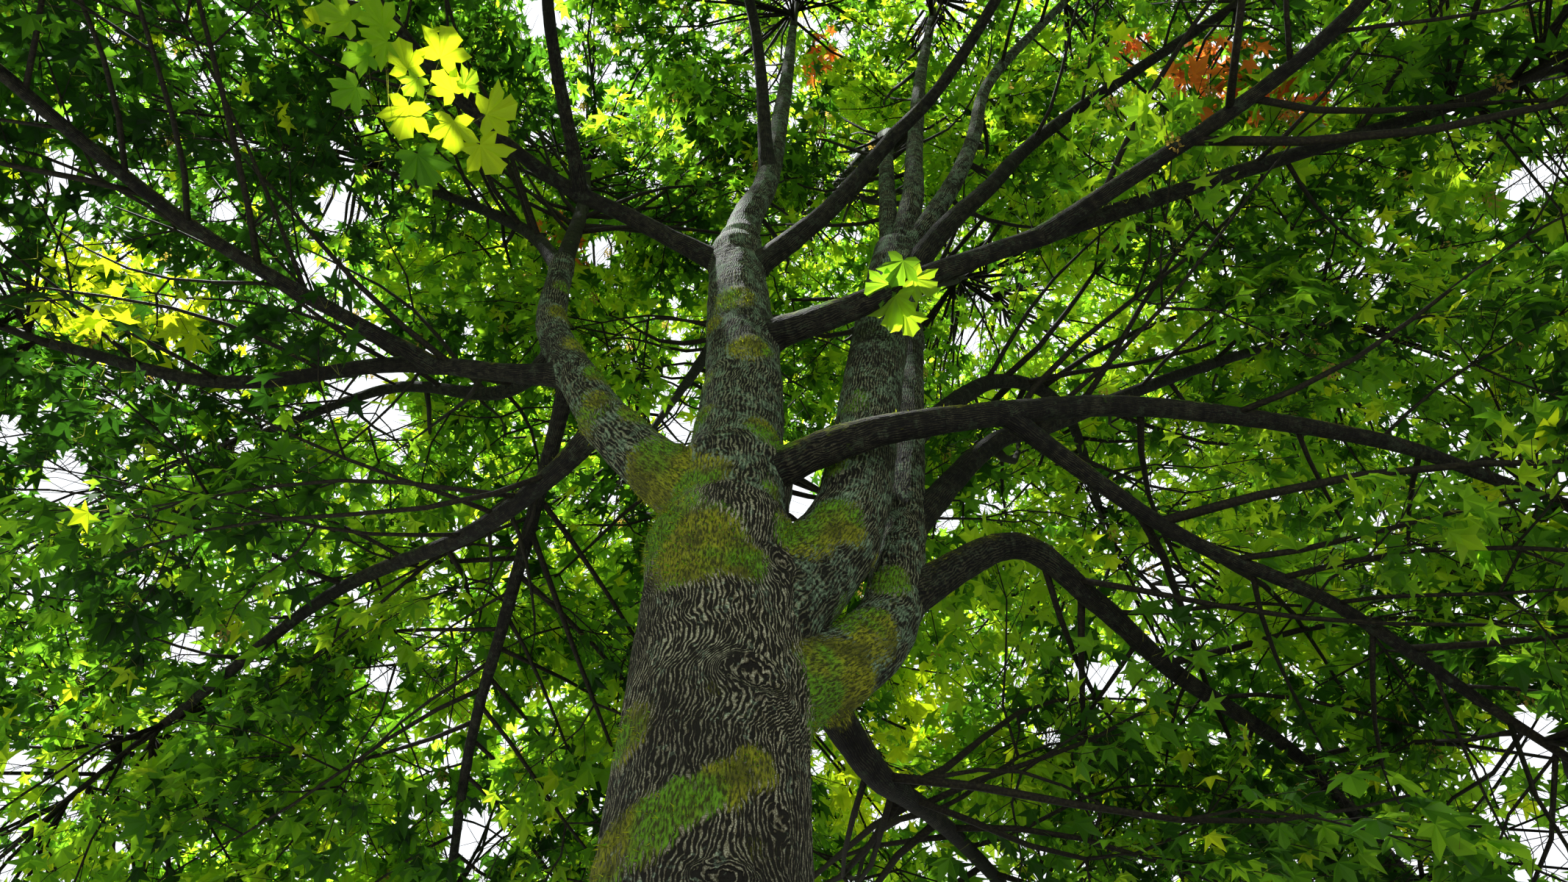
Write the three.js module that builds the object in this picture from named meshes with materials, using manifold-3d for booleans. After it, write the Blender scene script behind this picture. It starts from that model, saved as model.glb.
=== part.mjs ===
// A broad-leaved maple about 20 m tall, as one whole tree: a flared trunk, the stems and boughs that
// fork from it, and one mass of leaf sprays at the end of each bough.
// Millimetres, +Z up. The origin is the centre of the flat cut at ground level.
// +X is to the right and +Y away from someone who stands at the tree's open front and looks up into it.
import * as THREE from "three";
import { mergeVertices } from "three/addons/utils/BufferGeometryUtils.js";
import Module from "manifold-3d";

const wasm = await Module();
wasm.setup();

// Driving sizes of the whole tree.
const TRUNK_HEIGHT = 6300;
const TRUNK_GIRTH = 605; // radius at breast height
const TRUNK_TOP = 400; // radius where it forks
const ROOT_SPREAD = 330; // how far the roots flare out past the trunk at the ground
const ROOT_HEIGHT = 520; // the height over which the flare dies away
const ROOT_RIDGES = 5;
const CROWN = {
  centre: new THREE.Vector3(400, 0, 10300),
  wide: 8800,
  above: 9900,
  below: 8200,
  fullness: 2.5, // 2 is an ellipsoid, more is boxier
};
const HOLLOW = 0.5; // the share of the crown, from its centre, that is open wood without leaves
// The crown is open in front of the stems, from a viewer's eye up to the top of the open wood.
const OPENING = { x: 250, half: 2300, front: -100, eye: 1600, reach: 4500, slope: 3.3 };
const GAP = 0.35; // clearance between pieces that meet

// Driving sizes of the foliage. A spray is a stalk that opens into one broad blade, which stands for
// a real spray's many leaves.
const MASS_AHEAD = 1900; // from a bough's tip to the middle of its mass
const STEM_REACH = 3300; // from a bough's tip to the end of the stem inside its mass
const SIDES = 5; // of each stem
const SPRAYS = 17; // steps along each stem, with a spray at each
const TRIES = 8; // places tried for each spray before it is left out
const STALK = [2000, 650, 1400]; // stalk lengths, taken in turn
const STALK_RADIUS = 11; // where the blade begins
const BLADE = 1550; // length
const BLADE_THICK = 45;
const BLADE_DROOP = 0.2; // how far its tip hangs, as a share of its length
const EDGE = 40; // a spray stays this far inside its mass's space

// The stems and boughs. Each grows out of `on` at the share `at` of its length, passes through the points
// of `via` and ends at `tip`. `thick` and `thin` are its radii where it starts and where it ends.
// One with `leafy` false carries only other limbs. The foliage of each other one is grown from its number
// in the list, or anew with a `seed`.
const LIMBS = {
  trunk: {
    thick: TRUNK_GIRTH, thin: TRUNK_TOP, leafy: false,
    via: [[-20, 20, 2000], [10, 0, 4200]],
    tip: [0, 0, TRUNK_HEIGHT],
  },
  centre_stem: {
    on: "trunk", at: 0.95, thick: 320, thin: 205, leafy: false,
    via: [[60, 0, 7350], [10, 20, 8480]],
    tip: [-60, 40, 9500],
  },
  left_stem: {
    on: "centre_stem", at: 0.05, thick: 185, thin: 95, leafy: false,
    via: [[-680, -40, 6890], [-1080, -20, 7580], [-1420, 20, 8380]],
    tip: [-1500, 60, 9350],
  },
  right_stem: {
    on: "trunk", at: 0.82, thick: 250, thin: 200, leafy: false,
    via: [[470, 60, 5780], [760, 70, 6400], [940, 100, 7570]],
    tip: [1300, 100, 9550],
  },
  back_stem: {
    on: "trunk", at: 0.76, thick: 215, thin: 110, leafy: false,
    via: [[800, 300, 5480], [1040, 420, 6160], [1220, 560, 7460]],
    tip: [1480, 900, 9600],
  },
  centre_top: {
    on: "centre_stem", at: 0.97, thick: 165, thin: 50,
    via: [[20, 40, 10100], [190, 60, 10900], [340, 90, 12900]],
    tip: [450, 150, 15200],
  },
  centre_front_top: {
    on: "centre_top", at: 0.5, thick: 62, thin: 38,
    via: [[0, -900, 12800]],
    tip: [-700, -2500, 14300],
  },
  left_top: {
    on: "left_stem", at: 0.97, thick: 70, thin: 40,
    via: [[-2110, 300, 10400]],
    tip: [-3700, 600, 12000],
  },
  left_back_top: {
    on: "left_stem", at: 0.97, thick: 80, thin: 42,
    via: [[-1650, 500, 11200]],
    tip: [-2100, 1400, 13900],
  },
  right_top: {
    on: "right_stem", at: 0.97, thick: 120, thin: 50, seed: 2,
    via: [[1500, 60, 10400], [1630, 100, 11500], [1910, 200, 13700]],
    tip: [2300, 300, 16000],
  },
  right_inner_top: {
    on: "right_stem", at: 0.95, thick: 95, thin: 45,
    via: [[1290, 170, 10400], [1370, 240, 11650], [1500, 700, 13300]],
    tip: [1000, 2100, 14800],
  },
  right_outer_top: {
    on: "right_stem", at: 0.97, thick: 95, thin: 45,
    via: [[1830, -40, 10430], [2160, -100, 11350], [2580, -100, 12930]],
    tip: [3700, -300, 14800],
  },
  right_far_top: {
    on: "right_stem", at: 0.9, thick: 95, thin: 45,
    via: [[1650, -100, 9550], [2150, -200, 10200], [2850, -300, 11180]],
    tip: [4600, -900, 12400],
  },
  back_top: {
    on: "back_stem", at: 0.97, thick: 100, thin: 45, seed: 1,
    via: [[1750, 1600, 11400]],
    tip: [2600, 2900, 13700],
  },
  right_low_bough: {
    on: "centre_stem", at: 0.12, thick: 105, thin: 42,
    via: [[700, -330, 6560], [1300, -380, 6700], [2700, -100, 7200], [4560, 400, 7460]],
    tip: [5600, 700, 7300],
  },
  right_drooping_bough: {
    on: "right_low_bough", at: 0.47, thick: 52, thin: 36, seed: 1,
    via: [[2880, 400, 6510], [3830, 650, 6130]],
    tip: [4700, 1000, 5600],
  },
  right_long_bough: {
    on: "centre_stem", at: 0.54, thick: 100, thin: 45, seed: 1,
    via: [[790, -350, 8000], [1470, -500, 8280], [3280, -800, 8910]],
    tip: [5400, -1200, 9500],
  },
  right_front_bough: {
    on: "right_long_bough", at: 0.62, thick: 55, thin: 36,
    via: [[3900, -2100, 8600]],
    tip: [4700, -4100, 8300],
  },
  front_right_bough: {
    on: "centre_stem", at: 0.84, thick: 85, thin: 40,
    via: [[700, -250, 9650], [1280, -500, 10500], [1900, -900, 11200]],
    tip: [2900, -2400, 12000],
  },
  front_left_bough: {
    on: "centre_stem", at: 0.88, thick: 75, thin: 38, seed: 2,
    via: [[-880, -150, 9650], [-1700, -500, 9900], [-2500, -1200, 10200]],
    tip: [-3500, -2600, 10600],
  },
  front_bough: {
    on: "front_left_bough", at: 0.4, thick: 48, thin: 36,
    via: [[-1400, -2300, 10000]],
    tip: [-500, -4400, 10200],
  },
  left_bough: {
    on: "left_stem", at: 0.52, thick: 72, thin: 40, seed: 2,
    via: [[-1660, 60, 7800], [-2570, 150, 8020], [-3890, 300, 8010]],
    tip: [-5400, 300, 8500],
  },
  left_front_bough: {
    on: "left_bough", at: 0.42, thick: 48, thin: 36, seed: 1,
    via: [[-3600, -1100, 7900]],
    tip: [-4700, -2900, 7700],
  },
  left_far_bough: {
    on: "left_stem", at: 0.64, thick: 62, thin: 38,
    via: [[-1950, 700, 8400], [-3190, 1300, 9250]],
    tip: [-4800, 2300, 9900],
  },
  left_low_bough: {
    on: "left_stem", at: 0.34, thick: 70, thin: 40,
    via: [[-1240, 300, 6940], [-1860, 800, 6910], [-3170, 1700, 7130]],
    tip: [-4690, 2900, 6900],
  },
  back_left_bough: {
    on: "left_stem", at: 0.56, thick: 55, thin: 36,
    via: [[-1480, 900, 7510], [-1840, 1900, 6990], [-2190, 2900, 6610]],
    tip: [-2600, 4500, 6300],
  },
  back_bough: {
    on: "centre_stem", at: 0.36, thick: 70, thin: 38,
    via: [[150, 1700, 8100]],
    tip: [100, 4800, 9000],
  },
  back_high_bough: {
    on: "centre_stem", at: 0.8, thick: 72, thin: 40,
    via: [[-400, 1500, 10100]],
    tip: [-1300, 4000, 12000],
  },
  low_back_bough: {
    on: "back_stem", at: 0.14, thick: 85, thin: 40,
    via: [[830, 700, 4960], [1080, 1200, 5090], [1470, 2000, 5300]],
    tip: [2400, 4300, 5900],
  },
  right_falling_bough: {
    on: "back_stem", at: 0.4, thick: 95, thin: 40, seed: 2,
    via: [[1890, 700, 6690], [2550, 1200, 6610], [3250, 1900, 6540], [4310, 2700, 6400]],
    tip: [5300, 3700, 6100],
  },
  right_back_bough: {
    on: "back_stem", at: 0.78, thick: 75, thin: 40, seed: 2,
    via: [[2200, 1150, 9150], [3050, 1900, 9700]],
    tip: [3900, 3800, 10400],
  },
  right_rising_bough: {
    on: "back_stem", at: 0.58, thick: 80, thin: 40,
    via: [[1880, 700, 7730], [2440, 800, 8110], [3860, 1200, 9300]],
    tip: [5700, 1900, 10900],
  },
};

const UP = new THREE.Vector3(0, 0, 1);
const FACETS = { trunk: 15, stem: 9, bough: 6 };

// A repeatable number from 0 to 1 for a few whole numbers, by mixing their bits.
function chance(...keys) {
  let mixed = 2166136261;
  for (const key of keys) {
    mixed = Math.imul(mixed ^ (key + 1), 16777619);
    mixed = Math.imul(mixed ^ (mixed >>> 15), 2246822519);
    mixed ^= mixed >>> 13;
  }
  return (mixed >>> 0) / 4294967296;
}

// A smooth curve through the points.
function curveThrough(points) {
  return new THREE.CatmullRomCurve3(points, false, "catmullrom", 0.5);
}

// Gives each limb its curve, once its carrier has one.
function layOut(limbs) {
  for (const [name, limb] of Object.entries(limbs)) {
    const start = limb.on ? limbs[limb.on].curve.getPoint(limb.at) : new THREE.Vector3(0, 0, 0);
    const points = [...limb.via, limb.tip].map((p) => new THREE.Vector3(...p));
    limb.name = name;
    limb.curve = curveThrough([start, ...points]);
    limb.length = start.distanceTo(points.at(-1));
    limb.isTrunk = !limb.on;
    limb.facets = limb.isTrunk ? FACETS.trunk : limb.leafy === false ? FACETS.stem : FACETS.bough;
    limb.rings = limb.isTrunk ? 13 : 2 * points.length + 1;
  }
}

// A direction square to `along`, turned round it by an angle.
function turned(along, angle) {
  const steady = Math.abs(along.z) > 0.8 ? new THREE.Vector3(1, 0, 0) : UP;
  const side = steady.clone().addScaledVector(along, -along.dot(steady)).normalize();
  const across = along.clone().cross(side);
  return side.multiplyScalar(Math.cos(angle)).addScaledVector(across, Math.sin(angle));
}

// A limb's radius at the share `s` of its length: an even taper, and a collar where it leaves its carrier.
function radiusAt(limb, s) {
  const taper = limb.thick + (limb.thin - limb.thick) * s;
  const collar = limb.isTrunk || limb.at > 0.9 ? 0 : 0.35 * limb.thick * Math.exp(-7 * s);
  return taper + collar;
}

// How far the root flare stands out at a height and an angle round the trunk.
function rootFlare(height, angle) {
  const fade = Math.exp(-height / ROOT_HEIGHT);
  return ROOT_SPREAD * fade * (0.7 + 0.3 * Math.cos(ROOT_RIDGES * angle));
}

// Merges a geometry's corners and turns it into a solid for cutting and joining.
function toSolid(geometry) {
  const bare = new THREE.BufferGeometry();
  bare.setAttribute("position", geometry.getAttribute("position"));
  if (geometry.index) bare.setIndex(geometry.index);
  const merged = mergeVertices(bare, 1e-3);
  return new wasm.Manifold(
    new wasm.Mesh({
      numProp: 3,
      vertProperties: merged.attributes.position.array,
      triVerts: new Uint32Array(merged.index.array),
    }),
  );
}

// A solid's surface as a geometry.
function toGeometry(solid) {
  const mesh = solid.getMesh();
  const geometry = new THREE.BufferGeometry();
  geometry.setAttribute("position", new THREE.BufferAttribute(mesh.vertProperties, 3));
  geometry.setIndex([...mesh.triVerts]);
  geometry.computeVertexNormals();
  return geometry;
}

// A point and three square directions at even steps along a curve. The side direction is carried from
// each step to the next, so that a tube laid on them never twists.
function framesAlong(curve, count, first, turn = 0) {
  const frames = [];
  let side = turned(first, turn);
  for (let i = 0; i <= count; i++) {
    const along = i ? curve.getTangent(i / count) : first;
    side = side.clone().addScaledVector(along, -along.dot(side)).normalize();
    frames.push({ point: curve.getPoint(i / count), along, side, across: along.clone().cross(side) });
  }
  return frames;
}

// The point at an angle and a radius round a frame.
function around({ point, side, across }, angle, radius) {
  const aside = point.clone().addScaledVector(side, radius * Math.cos(angle));
  return aside.addScaledVector(across, radius * Math.sin(angle));
}

// A closed cylinder whose rings are laid along a curve, each at its own radius, which radius(s, angle)
// gives. Its first ring is square to `first`, and it is longer than the curve by `longer` at each end.
function bentCylinder(curve, first, sides, rings, radius, longer) {
  const geometry = new THREE.CylinderGeometry(1, 1, 1, sides, rings);
  const position = geometry.getAttribute("position");
  const frames = framesAlong(curve, rings, first);
  frames[0].point.addScaledVector(frames[0].along, -longer);
  frames[rings].point.addScaledVector(frames[rings].along, longer);
  for (let i = 0; i < position.count; i++) {
    const [x, y, z] = [position.getX(i), position.getY(i), position.getZ(i)];
    const step = Math.round((y + 0.5) * rings);
    const angle = Math.atan2(-z, x);
    const point = around(frames[step], angle, Math.hypot(x, z) * radius(step / rings, angle));
    position.setXYZ(i, point.x, point.y, point.z);
  }
  return geometry;
}

// A limb as a solid. With `grow` it is that much fatter and longer, which cuts its neighbours clear of it.
function limbSolid(limb, grow = 0) {
  const flare = (s, angle) => (limb.isTrunk ? rootFlare(s * TRUNK_HEIGHT, angle) : 0);
  const radius = (s, angle) => radiusAt(limb, s) + flare(s, angle) + grow;
  const first = limb.isTrunk ? UP : limb.curve.getTangent(0);
  return toSolid(bentCylinder(limb.curve, first, limb.facets, limb.rings, radius, grow));
}

// The largest of the separate pieces that a cut leaves.
function largestPiece(solid) {
  return solid.decompose().reduce((best, piece) => (piece.volume() > best.volume() ? piece : best));
}

function boxesMeet(a, b) {
  const one = a.boundingBox();
  const other = b.boundingBox();
  return [0, 1, 2].every((i) => one.min[i] < other.max[i] && other.min[i] < one.max[i]);
}

function touches(solid, others) {
  return others.some((other) => boxesMeet(solid, other) && !solid.intersect(other).isEmpty());
}

// The solid with every one of the others cut out of it.
function cutClear(solid, others) {
  const near = others.filter((other) => boxesMeet(solid, other));
  return largestPiece(near.reduce((rest, other) => rest.subtract(other), solid));
}

// Which way is out of the crown at a point.
function outward(point) {
  return point.clone().sub(CROWN.centre).normalize();
}

// How far out in the crown a point is: 0 at its centre and 1 on its outer surface.
function depthInCrown(point) {
  const from = point.clone().sub(CROWN.centre);
  const tall = from.z > 0 ? CROWN.above : CROWN.below;
  const shares = [from.x / CROWN.wide, from.y / CROWN.wide, from.z / tall];
  return shares.reduce((sum, share) => sum + Math.abs(share) ** CROWN.fullness, 0) ** (1 / CROWN.fullness);
}

// Each leafy bough carries one mass, whose middle lies ahead of the bough's tip.
function massesOf(limbs) {
  const leafy = Object.values(limbs).filter((limb) => limb.leafy !== false);
  return leafy.map((limb, number) => {
    const tip = limb.curve.getPoint(1);
    const ahead = limb.curve.getTangent(1).multiplyScalar(0.5).add(outward(tip)).normalize();
    const middle = tip.clone().addScaledVector(ahead, MASS_AHEAD);
    const seed = number + 100 * (limb.seed ?? 0);
    return { name: limb.name + "_leaves", limb, seed, tip, ahead, middle };
  });
}

function inOpening({ x, y, z }) {
  if (Math.abs(x - OPENING.x) > OPENING.half || y > OPENING.front) return false;
  return z < OPENING.eye + OPENING.slope * (y + OPENING.reach);
}

// Whether a point is in a mass's own space: in the leafy shell of the crown, out of its opening, and
// nearer to this mass's middle than to any other's, by the margin.
function inSpace(point, mass, masses, margin) {
  const depth = depthInCrown(point);
  if (depth > 1 || depth < HOLLOW || inOpening(point)) return false;
  const own = point.distanceTo(mass.middle);
  return masses.every((other) => {
    if (other === mass) return true;
    const apart = other.middle.distanceTo(mass.middle);
    const theirs = point.distanceTo(other.middle);
    return (theirs * theirs - own * own) / (2 * apart) > margin;
  });
}

// The stem inside a mass: from the bough's tip, out along the bough's line, then turning out and up.
function stemCurve(mass) {
  const start = mass.tip.clone().addScaledVector(mass.limb.curve.getTangent(1), GAP);
  const end = mass.tip.clone().addScaledVector(mass.ahead, STEM_REACH);
  let reach = 1;
  while (depthInCrown(start.clone().lerp(end, reach)) > 0.95) reach -= 0.05;
  const tip = start.clone().lerp(end, reach);
  const bend = start.clone().addScaledVector(mass.limb.curve.getTangent(1), 0.45 * start.distanceTo(tip));
  return curveThrough([start, bend, tip]);
}

function stemRadius(mass, s) {
  return mass.limb.thin * (0.95 - 0.55 * s);
}

// The corners of the rings of a mass's stem, its first ring square to the bough's end.
function stemRings(mass) {
  return mass.frames.map((frame, i) => {
    const radius = stemRadius(mass, i / SPRAYS);
    return Array.from({ length: SIDES }, (_, j) => around(frame, (2 * Math.PI * j) / SIDES, radius));
  });
}

// Half of the stem's facet that spray k grows from, in step k of the stem. The next spray's is two
// sides further round, which is two fifths of a turn.
function facetOf(k, rings) {
  const side = (2 * k) % SIDES;
  const next = (side + 1) % SIDES;
  return [rings[k][side], rings[k + 1][next], rings[k][next]];
}

// The blade's cross-sections: half width, where its two edges are, where its ridge is, and its drop,
// all as shares of its length. The first is across the side lobes and the second at the waist.
const BLADE_SECTIONS = [[0.5, 0.42, 0.26, 0.02], [0.19, 0.54, 0.6, 0.05]];

// A spray's corners: three-cornered cross-sections, of its stalk at the shares `from` of its length and
// then of its blade, and the blade's tip. Each goes left edge, right edge, ridge.
function sprayCorners({ place, stalk, blade }, from) {
  const at = (x, y, z) => new THREE.Vector3(x, y, z).applyMatrix4(place);
  const rings = from.map((share) => [
    at(-STALK_RADIUS, share * stalk, 0),
    at(STALK_RADIUS, share * stalk, 0),
    at(0, share * stalk, 1.6 * STALK_RADIUS),
  ]);
  for (const [wide, edge, ridge, drop] of BLADE_SECTIONS) {
    rings.push([
      at(-wide * blade, stalk + edge * blade, -drop * blade),
      at(wide * blade, stalk + edge * blade, -drop * blade),
      at(0, stalk + ridge * blade, BLADE_THICK - drop * blade),
    ]);
  }
  return { rings, tip: at(0, stalk + blade, -BLADE_DROOP * blade) };
}

// The triangles of a body that runs through three-cornered rings to a point.
function throughRings(rings, tip) {
  const triangles = [];
  for (let side = 0; side < 3; side++) {
    const next = (side + 1) % 3;
    for (let i = 1; i < rings.length; i++) {
      const [from, to] = [rings[i - 1], rings[i]];
      triangles.push([from[side], to[side], to[next]], [from[side], to[next], from[next]]);
    }
    triangles.push([rings.at(-1)[side], tip, rings.at(-1)[next]]);
  }
  return triangles;
}

function geometryOf(triangles) {
  const geometry = new THREE.BufferGeometry();
  const numbers = triangles.flat().flatMap((corner) => corner.toArray());
  geometry.setAttribute("position", new THREE.BufferAttribute(new Float32Array(numbers), 3));
  return geometry;
}

// The three corners in the order, round the same way, that lies nearest to another three.
function untwisted(corners, others) {
  const orders = [0, 1, 2].map((first) => [0, 1, 2].map((i) => corners[(first + i) % 3]));
  const apart = (order) => order.reduce((sum, corner, i) => sum + corner.distanceToSquared(others[i]), 0);
  return orders.reduce((best, order) => (apart(order) < apart(best) ? order : best));
}

// Spray k of a mass on its nth try: its sizes, and where it sits with its face to the light.
function sprayOf(mass, k, nth) {
  const luck = (key) => chance(mass.seed, k, nth, key) - 0.5;
  const { along, side, across } = mass.frames[k];
  const root = new THREE.Vector3();
  for (const corner of facetOf(k, mass.rings)) root.addScaledVector(corner, 1 / 3);
  const turn = (2 * Math.PI * (((2 * k) % SIDES) + 0.5)) / SIDES + 0.9 * luck(1);
  const lean = 1.3 - (0.6 * k) / SPRAYS + 0.5 * luck(2);
  const way = along
    .clone()
    .multiplyScalar(Math.cos(lean))
    .addScaledVector(side, Math.sin(lean) * Math.cos(turn))
    .addScaledVector(across, Math.sin(lean) * Math.sin(turn));
  const light = outward(root).multiplyScalar(0.8).addScaledVector(UP, 0.7);
  const face = light.add(new THREE.Vector3(luck(3), luck(4), luck(5)).multiplyScalar(0.7));
  face.addScaledVector(way, -way.dot(face)).normalize();
  const place = new THREE.Matrix4().makeBasis(way.clone().cross(face), way, face).setPosition(root);
  const stalk = STALK[k % STALK.length] * (1 - (0.6 * nth) / TRIES) * (1 + 0.3 * luck(6));
  return { place, stalk, blade: BLADE * (1 + 0.3 * luck(7)) };
}

// Whether a spray is inside its mass's space and clear of the limbs and of the sprays before it.
function sprayFits(spray, mass, masses, swollen) {
  const { rings, tip } = sprayCorners(spray, [0.25, 1]);
  if (![...rings.flat(), tip].every((corner) => inSpace(corner, mass, masses, EDGE))) return false;
  spray.body = toSolid(geometryOf([rings[0], ...throughRings(rings, tip)]));
  return !touches(spray.body, swollen) && !touches(spray.body, mass.sprays.map((other) => other.body));
}

// One mass: a five-sided stem, with a spray grown out of a facet at each of its steps. A spray that
// doesn't fit is tried again elsewhere and then left out.
function massGeometry(mass, masses, swollen) {
  mass.sprays = [];
  const { rings } = mass;
  const triangles = [];
  for (let k = 0; k < SPRAYS; k++) {
    const tries = Array.from({ length: TRIES }, (_, nth) => sprayOf(mass, k, nth));
    const spray = tries.find((one) => sprayFits(one, mass, masses, swollen));
    if (spray) mass.sprays.push(spray);
    for (let side = 0; side < SIDES; side++) {
      const next = (side + 1) % SIDES;
      triangles.push([rings[k][side], rings[k + 1][next], rings[k + 1][side]]);
      if (spray && side === (2 * k) % SIDES) continue;
      triangles.push([rings[k][side], rings[k][next], rings[k + 1][next]]);
    }
    if (!spray) continue;
    const grown = sprayCorners(spray, [1]);
    const root = untwisted(facetOf(k, rings), grown.rings[0]);
    triangles.push(...throughRings([root, ...grown.rings], grown.tip));
  }
  for (let side = 1; side < SIDES - 1; side++) {
    const [first, last] = [rings[0], rings.at(-1)];
    triangles.push([first[0], first[side + 1], first[side]], [last[0], last[side], last[side + 1]]);
  }
  return geometryOf(triangles);
}

function matt(name, color, roughness) {
  return new THREE.MeshStandardMaterial({ name, color, roughness, metalness: 0 });
}

const BARK = matt("bark", 0x6b6455, 0.95);
const FOLIAGE = matt("foliage", 0x4f8f1f, 0.6);

const tree = new THREE.Group();

function addNode(name, solid, material) {
  const mesh = new THREE.Mesh(toGeometry(solid), material);
  mesh.name = name;
  tree.add(mesh);
}

layOut(LIMBS);
const limbs = Object.values(LIMBS);

// Each limb is cut clear of its carrier and of every limb made before it.
const swollen = [];
for (const limb of limbs) {
  addNode(limb.name, cutClear(limbSolid(limb), swollen), BARK);
  swollen.push(limbSolid(limb, GAP));
}

const masses = massesOf(LIMBS);
for (const mass of masses) {
  const first = mass.limb.curve.getTangent(1);
  mass.frames = framesAlong(stemCurve(mass), SPRAYS, first, 2 * Math.PI * chance(mass.seed));
  mass.rings = stemRings(mass);
}
for (const mass of masses) addNode(mass.name, toSolid(massGeometry(mass, masses, swollen)), FOLIAGE);

export default tree;
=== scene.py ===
# %% [markdown]
# A whole maple seen from its foot
#
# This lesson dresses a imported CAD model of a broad-leaved maple, about 20 m tall. The CAD tree has a
# trunk, four stems, 27 boughs and a mass of big stand-in blades at the end of each bough. Here the
# wood gets bark, moss and lichen, and each mass is grown again by the CAD's own rule, carried down
# to twigs and single leaves. The tree is open in front of its stems, and the camera stands in that
# opening and looks up.

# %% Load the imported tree
import math
import time

import bpy
import numpy as np
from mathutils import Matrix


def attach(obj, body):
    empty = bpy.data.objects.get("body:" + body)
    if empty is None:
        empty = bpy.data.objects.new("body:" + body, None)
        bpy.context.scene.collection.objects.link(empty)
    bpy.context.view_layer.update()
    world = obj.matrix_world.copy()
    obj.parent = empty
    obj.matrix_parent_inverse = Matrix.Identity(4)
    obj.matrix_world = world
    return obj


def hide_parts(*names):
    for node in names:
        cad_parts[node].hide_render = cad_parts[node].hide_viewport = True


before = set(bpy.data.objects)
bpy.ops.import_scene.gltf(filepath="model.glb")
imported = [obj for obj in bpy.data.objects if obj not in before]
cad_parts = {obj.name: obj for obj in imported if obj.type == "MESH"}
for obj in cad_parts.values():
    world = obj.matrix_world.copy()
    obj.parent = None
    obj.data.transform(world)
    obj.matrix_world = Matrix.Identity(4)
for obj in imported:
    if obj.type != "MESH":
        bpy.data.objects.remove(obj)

started = time.time()
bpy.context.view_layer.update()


def so_far():
    """The time since the script began, in words."""
    return f"{time.time() - started:.1f} s"


# %% [markdown]
# The viewer's eye
#
# The photograph was taken from standing height, 4.5 m in front of the trunk, with the camera tilted
# 50 degrees up. A lens could be set by guessing at a zoom. Here it is worked out instead: the trunk's
# edges meet at the zenith, and how far above the picture they meet gives the focal length in pixels.

# %% Camera
EYE = (0.34, -4.5, 1.6)
PITCH = math.radians(50)
PICTURE_WIDTH, PICTURE_HEIGHT = 2133, 1200
FOCAL_PIXELS = 1450
SENSOR_WIDTH = 36
FURTHEST = 400

camera_data = bpy.data.cameras.new("eye")
camera_data.sensor_width = SENSOR_WIDTH
camera_data.lens = SENSOR_WIDTH * FOCAL_PIXELS / PICTURE_WIDTH
camera_data.clip_end = FURTHEST
camera = bpy.data.objects.new("eye", camera_data)
camera.location = EYE
camera.rotation_euler = (math.radians(90) + PITCH, 0, 0)
bpy.context.scene.collection.objects.link(camera)
bpy.context.scene.camera = camera
print("the lens is", round(camera_data.lens, 2), "mm")


def toward(x, y):
    """The direction from the eye through a pixel of the 2133 by 1200 picture: as far right and up of its
    middle as the focal length says, and one forward, turned up by the pitch and made one long."""
    right, up = (x - PICTURE_WIDTH / 2) / FOCAL_PIXELS, (PICTURE_HEIGHT / 2 - y) / FOCAL_PIXELS
    way = np.array([right, math.cos(PITCH) - up * math.sin(PITCH), math.sin(PITCH) + up * math.cos(PITCH)])
    return way / np.linalg.norm(way)

# %% [markdown]
# Chance that comes out the same each time
#
# Every twig needs a little luck in its length and lean, and it has to be the same luck in each run.
# Blender has random modifiers, and numpy has generators, but a generator gives other numbers as soon
# as one draw is added before them. So each number here is mixed from whole-number keys, such as the
# bough, the twig and the try, and it never changes.

# %% Chance and noise
BITS = np.uint64(0xFFFFFFFF)
ABOVE_ZERO = 4096
MIX_START, FIRST_ODD, SECOND_ODD = (np.uint64(number) for number in (2166136261, 16777619, 2246822519))


def chance(*keys):
    """A repeatable number from 0 to 1 for whole-number keys, which may be arrays. Each key plus one is
    xored into the mix, which is multiplied by an odd constant, folded on itself 15 bits down, multiplied
    by another and folded 13 bits down, all in 32 bits."""
    mixed = MIX_START
    for key in keys:
        mixed = ((mixed ^ (np.asarray(key).astype(np.uint64) + np.uint64(1))) * FIRST_ODD) & BITS
        mixed = ((mixed ^ (mixed >> np.uint64(15))) * SECOND_ODD) & BITS
        mixed = mixed ^ (mixed >> np.uint64(13))
    return mixed / 2.0**32


def luck(*keys):
    """Chance, from minus a half to a half."""
    return chance(*keys) - 0.5


def noise(points, seed):
    """Smooth noise from -1 to 1 at each point: a chance at each corner of a unit grid, blended across
    the cell with the ease 3 t squared minus 2 t cubed along each axis."""
    cell = np.floor(points)
    part = points - cell
    ease = part * part * (3 - 2 * part)
    cell = cell.astype(np.int64) + ABOVE_ZERO
    total = np.zeros(points.shape[:-1])
    for corner in np.ndindex(2, 2, 2):
        weight = np.prod(np.where(corner, ease, 1 - ease), axis=-1)
        at = cell + np.array(corner)
        total += weight * chance(seed, at[..., 0], at[..., 1], at[..., 2])
    return 2 * total - 1


def layered(points, seed, layers=3):
    """Noise with finer noise on top: each layer is twice as fine and half as strong as the last."""
    return sum(noise(points * 2**i, seed + i) / 2**i for i in range(layers)) / (2 - 0.5 ** (layers - 1))


def unit(vectors):
    """Each vector divided by its own length."""
    return vectors / np.maximum(np.linalg.norm(vectors, axis=-1, keepdims=True), 1e-12)


def dot(a, b):
    """The sum of the products of two vectors' parts, kept as a last axis of one."""
    return np.sum(a * b, axis=-1, keepdims=True)


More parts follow.
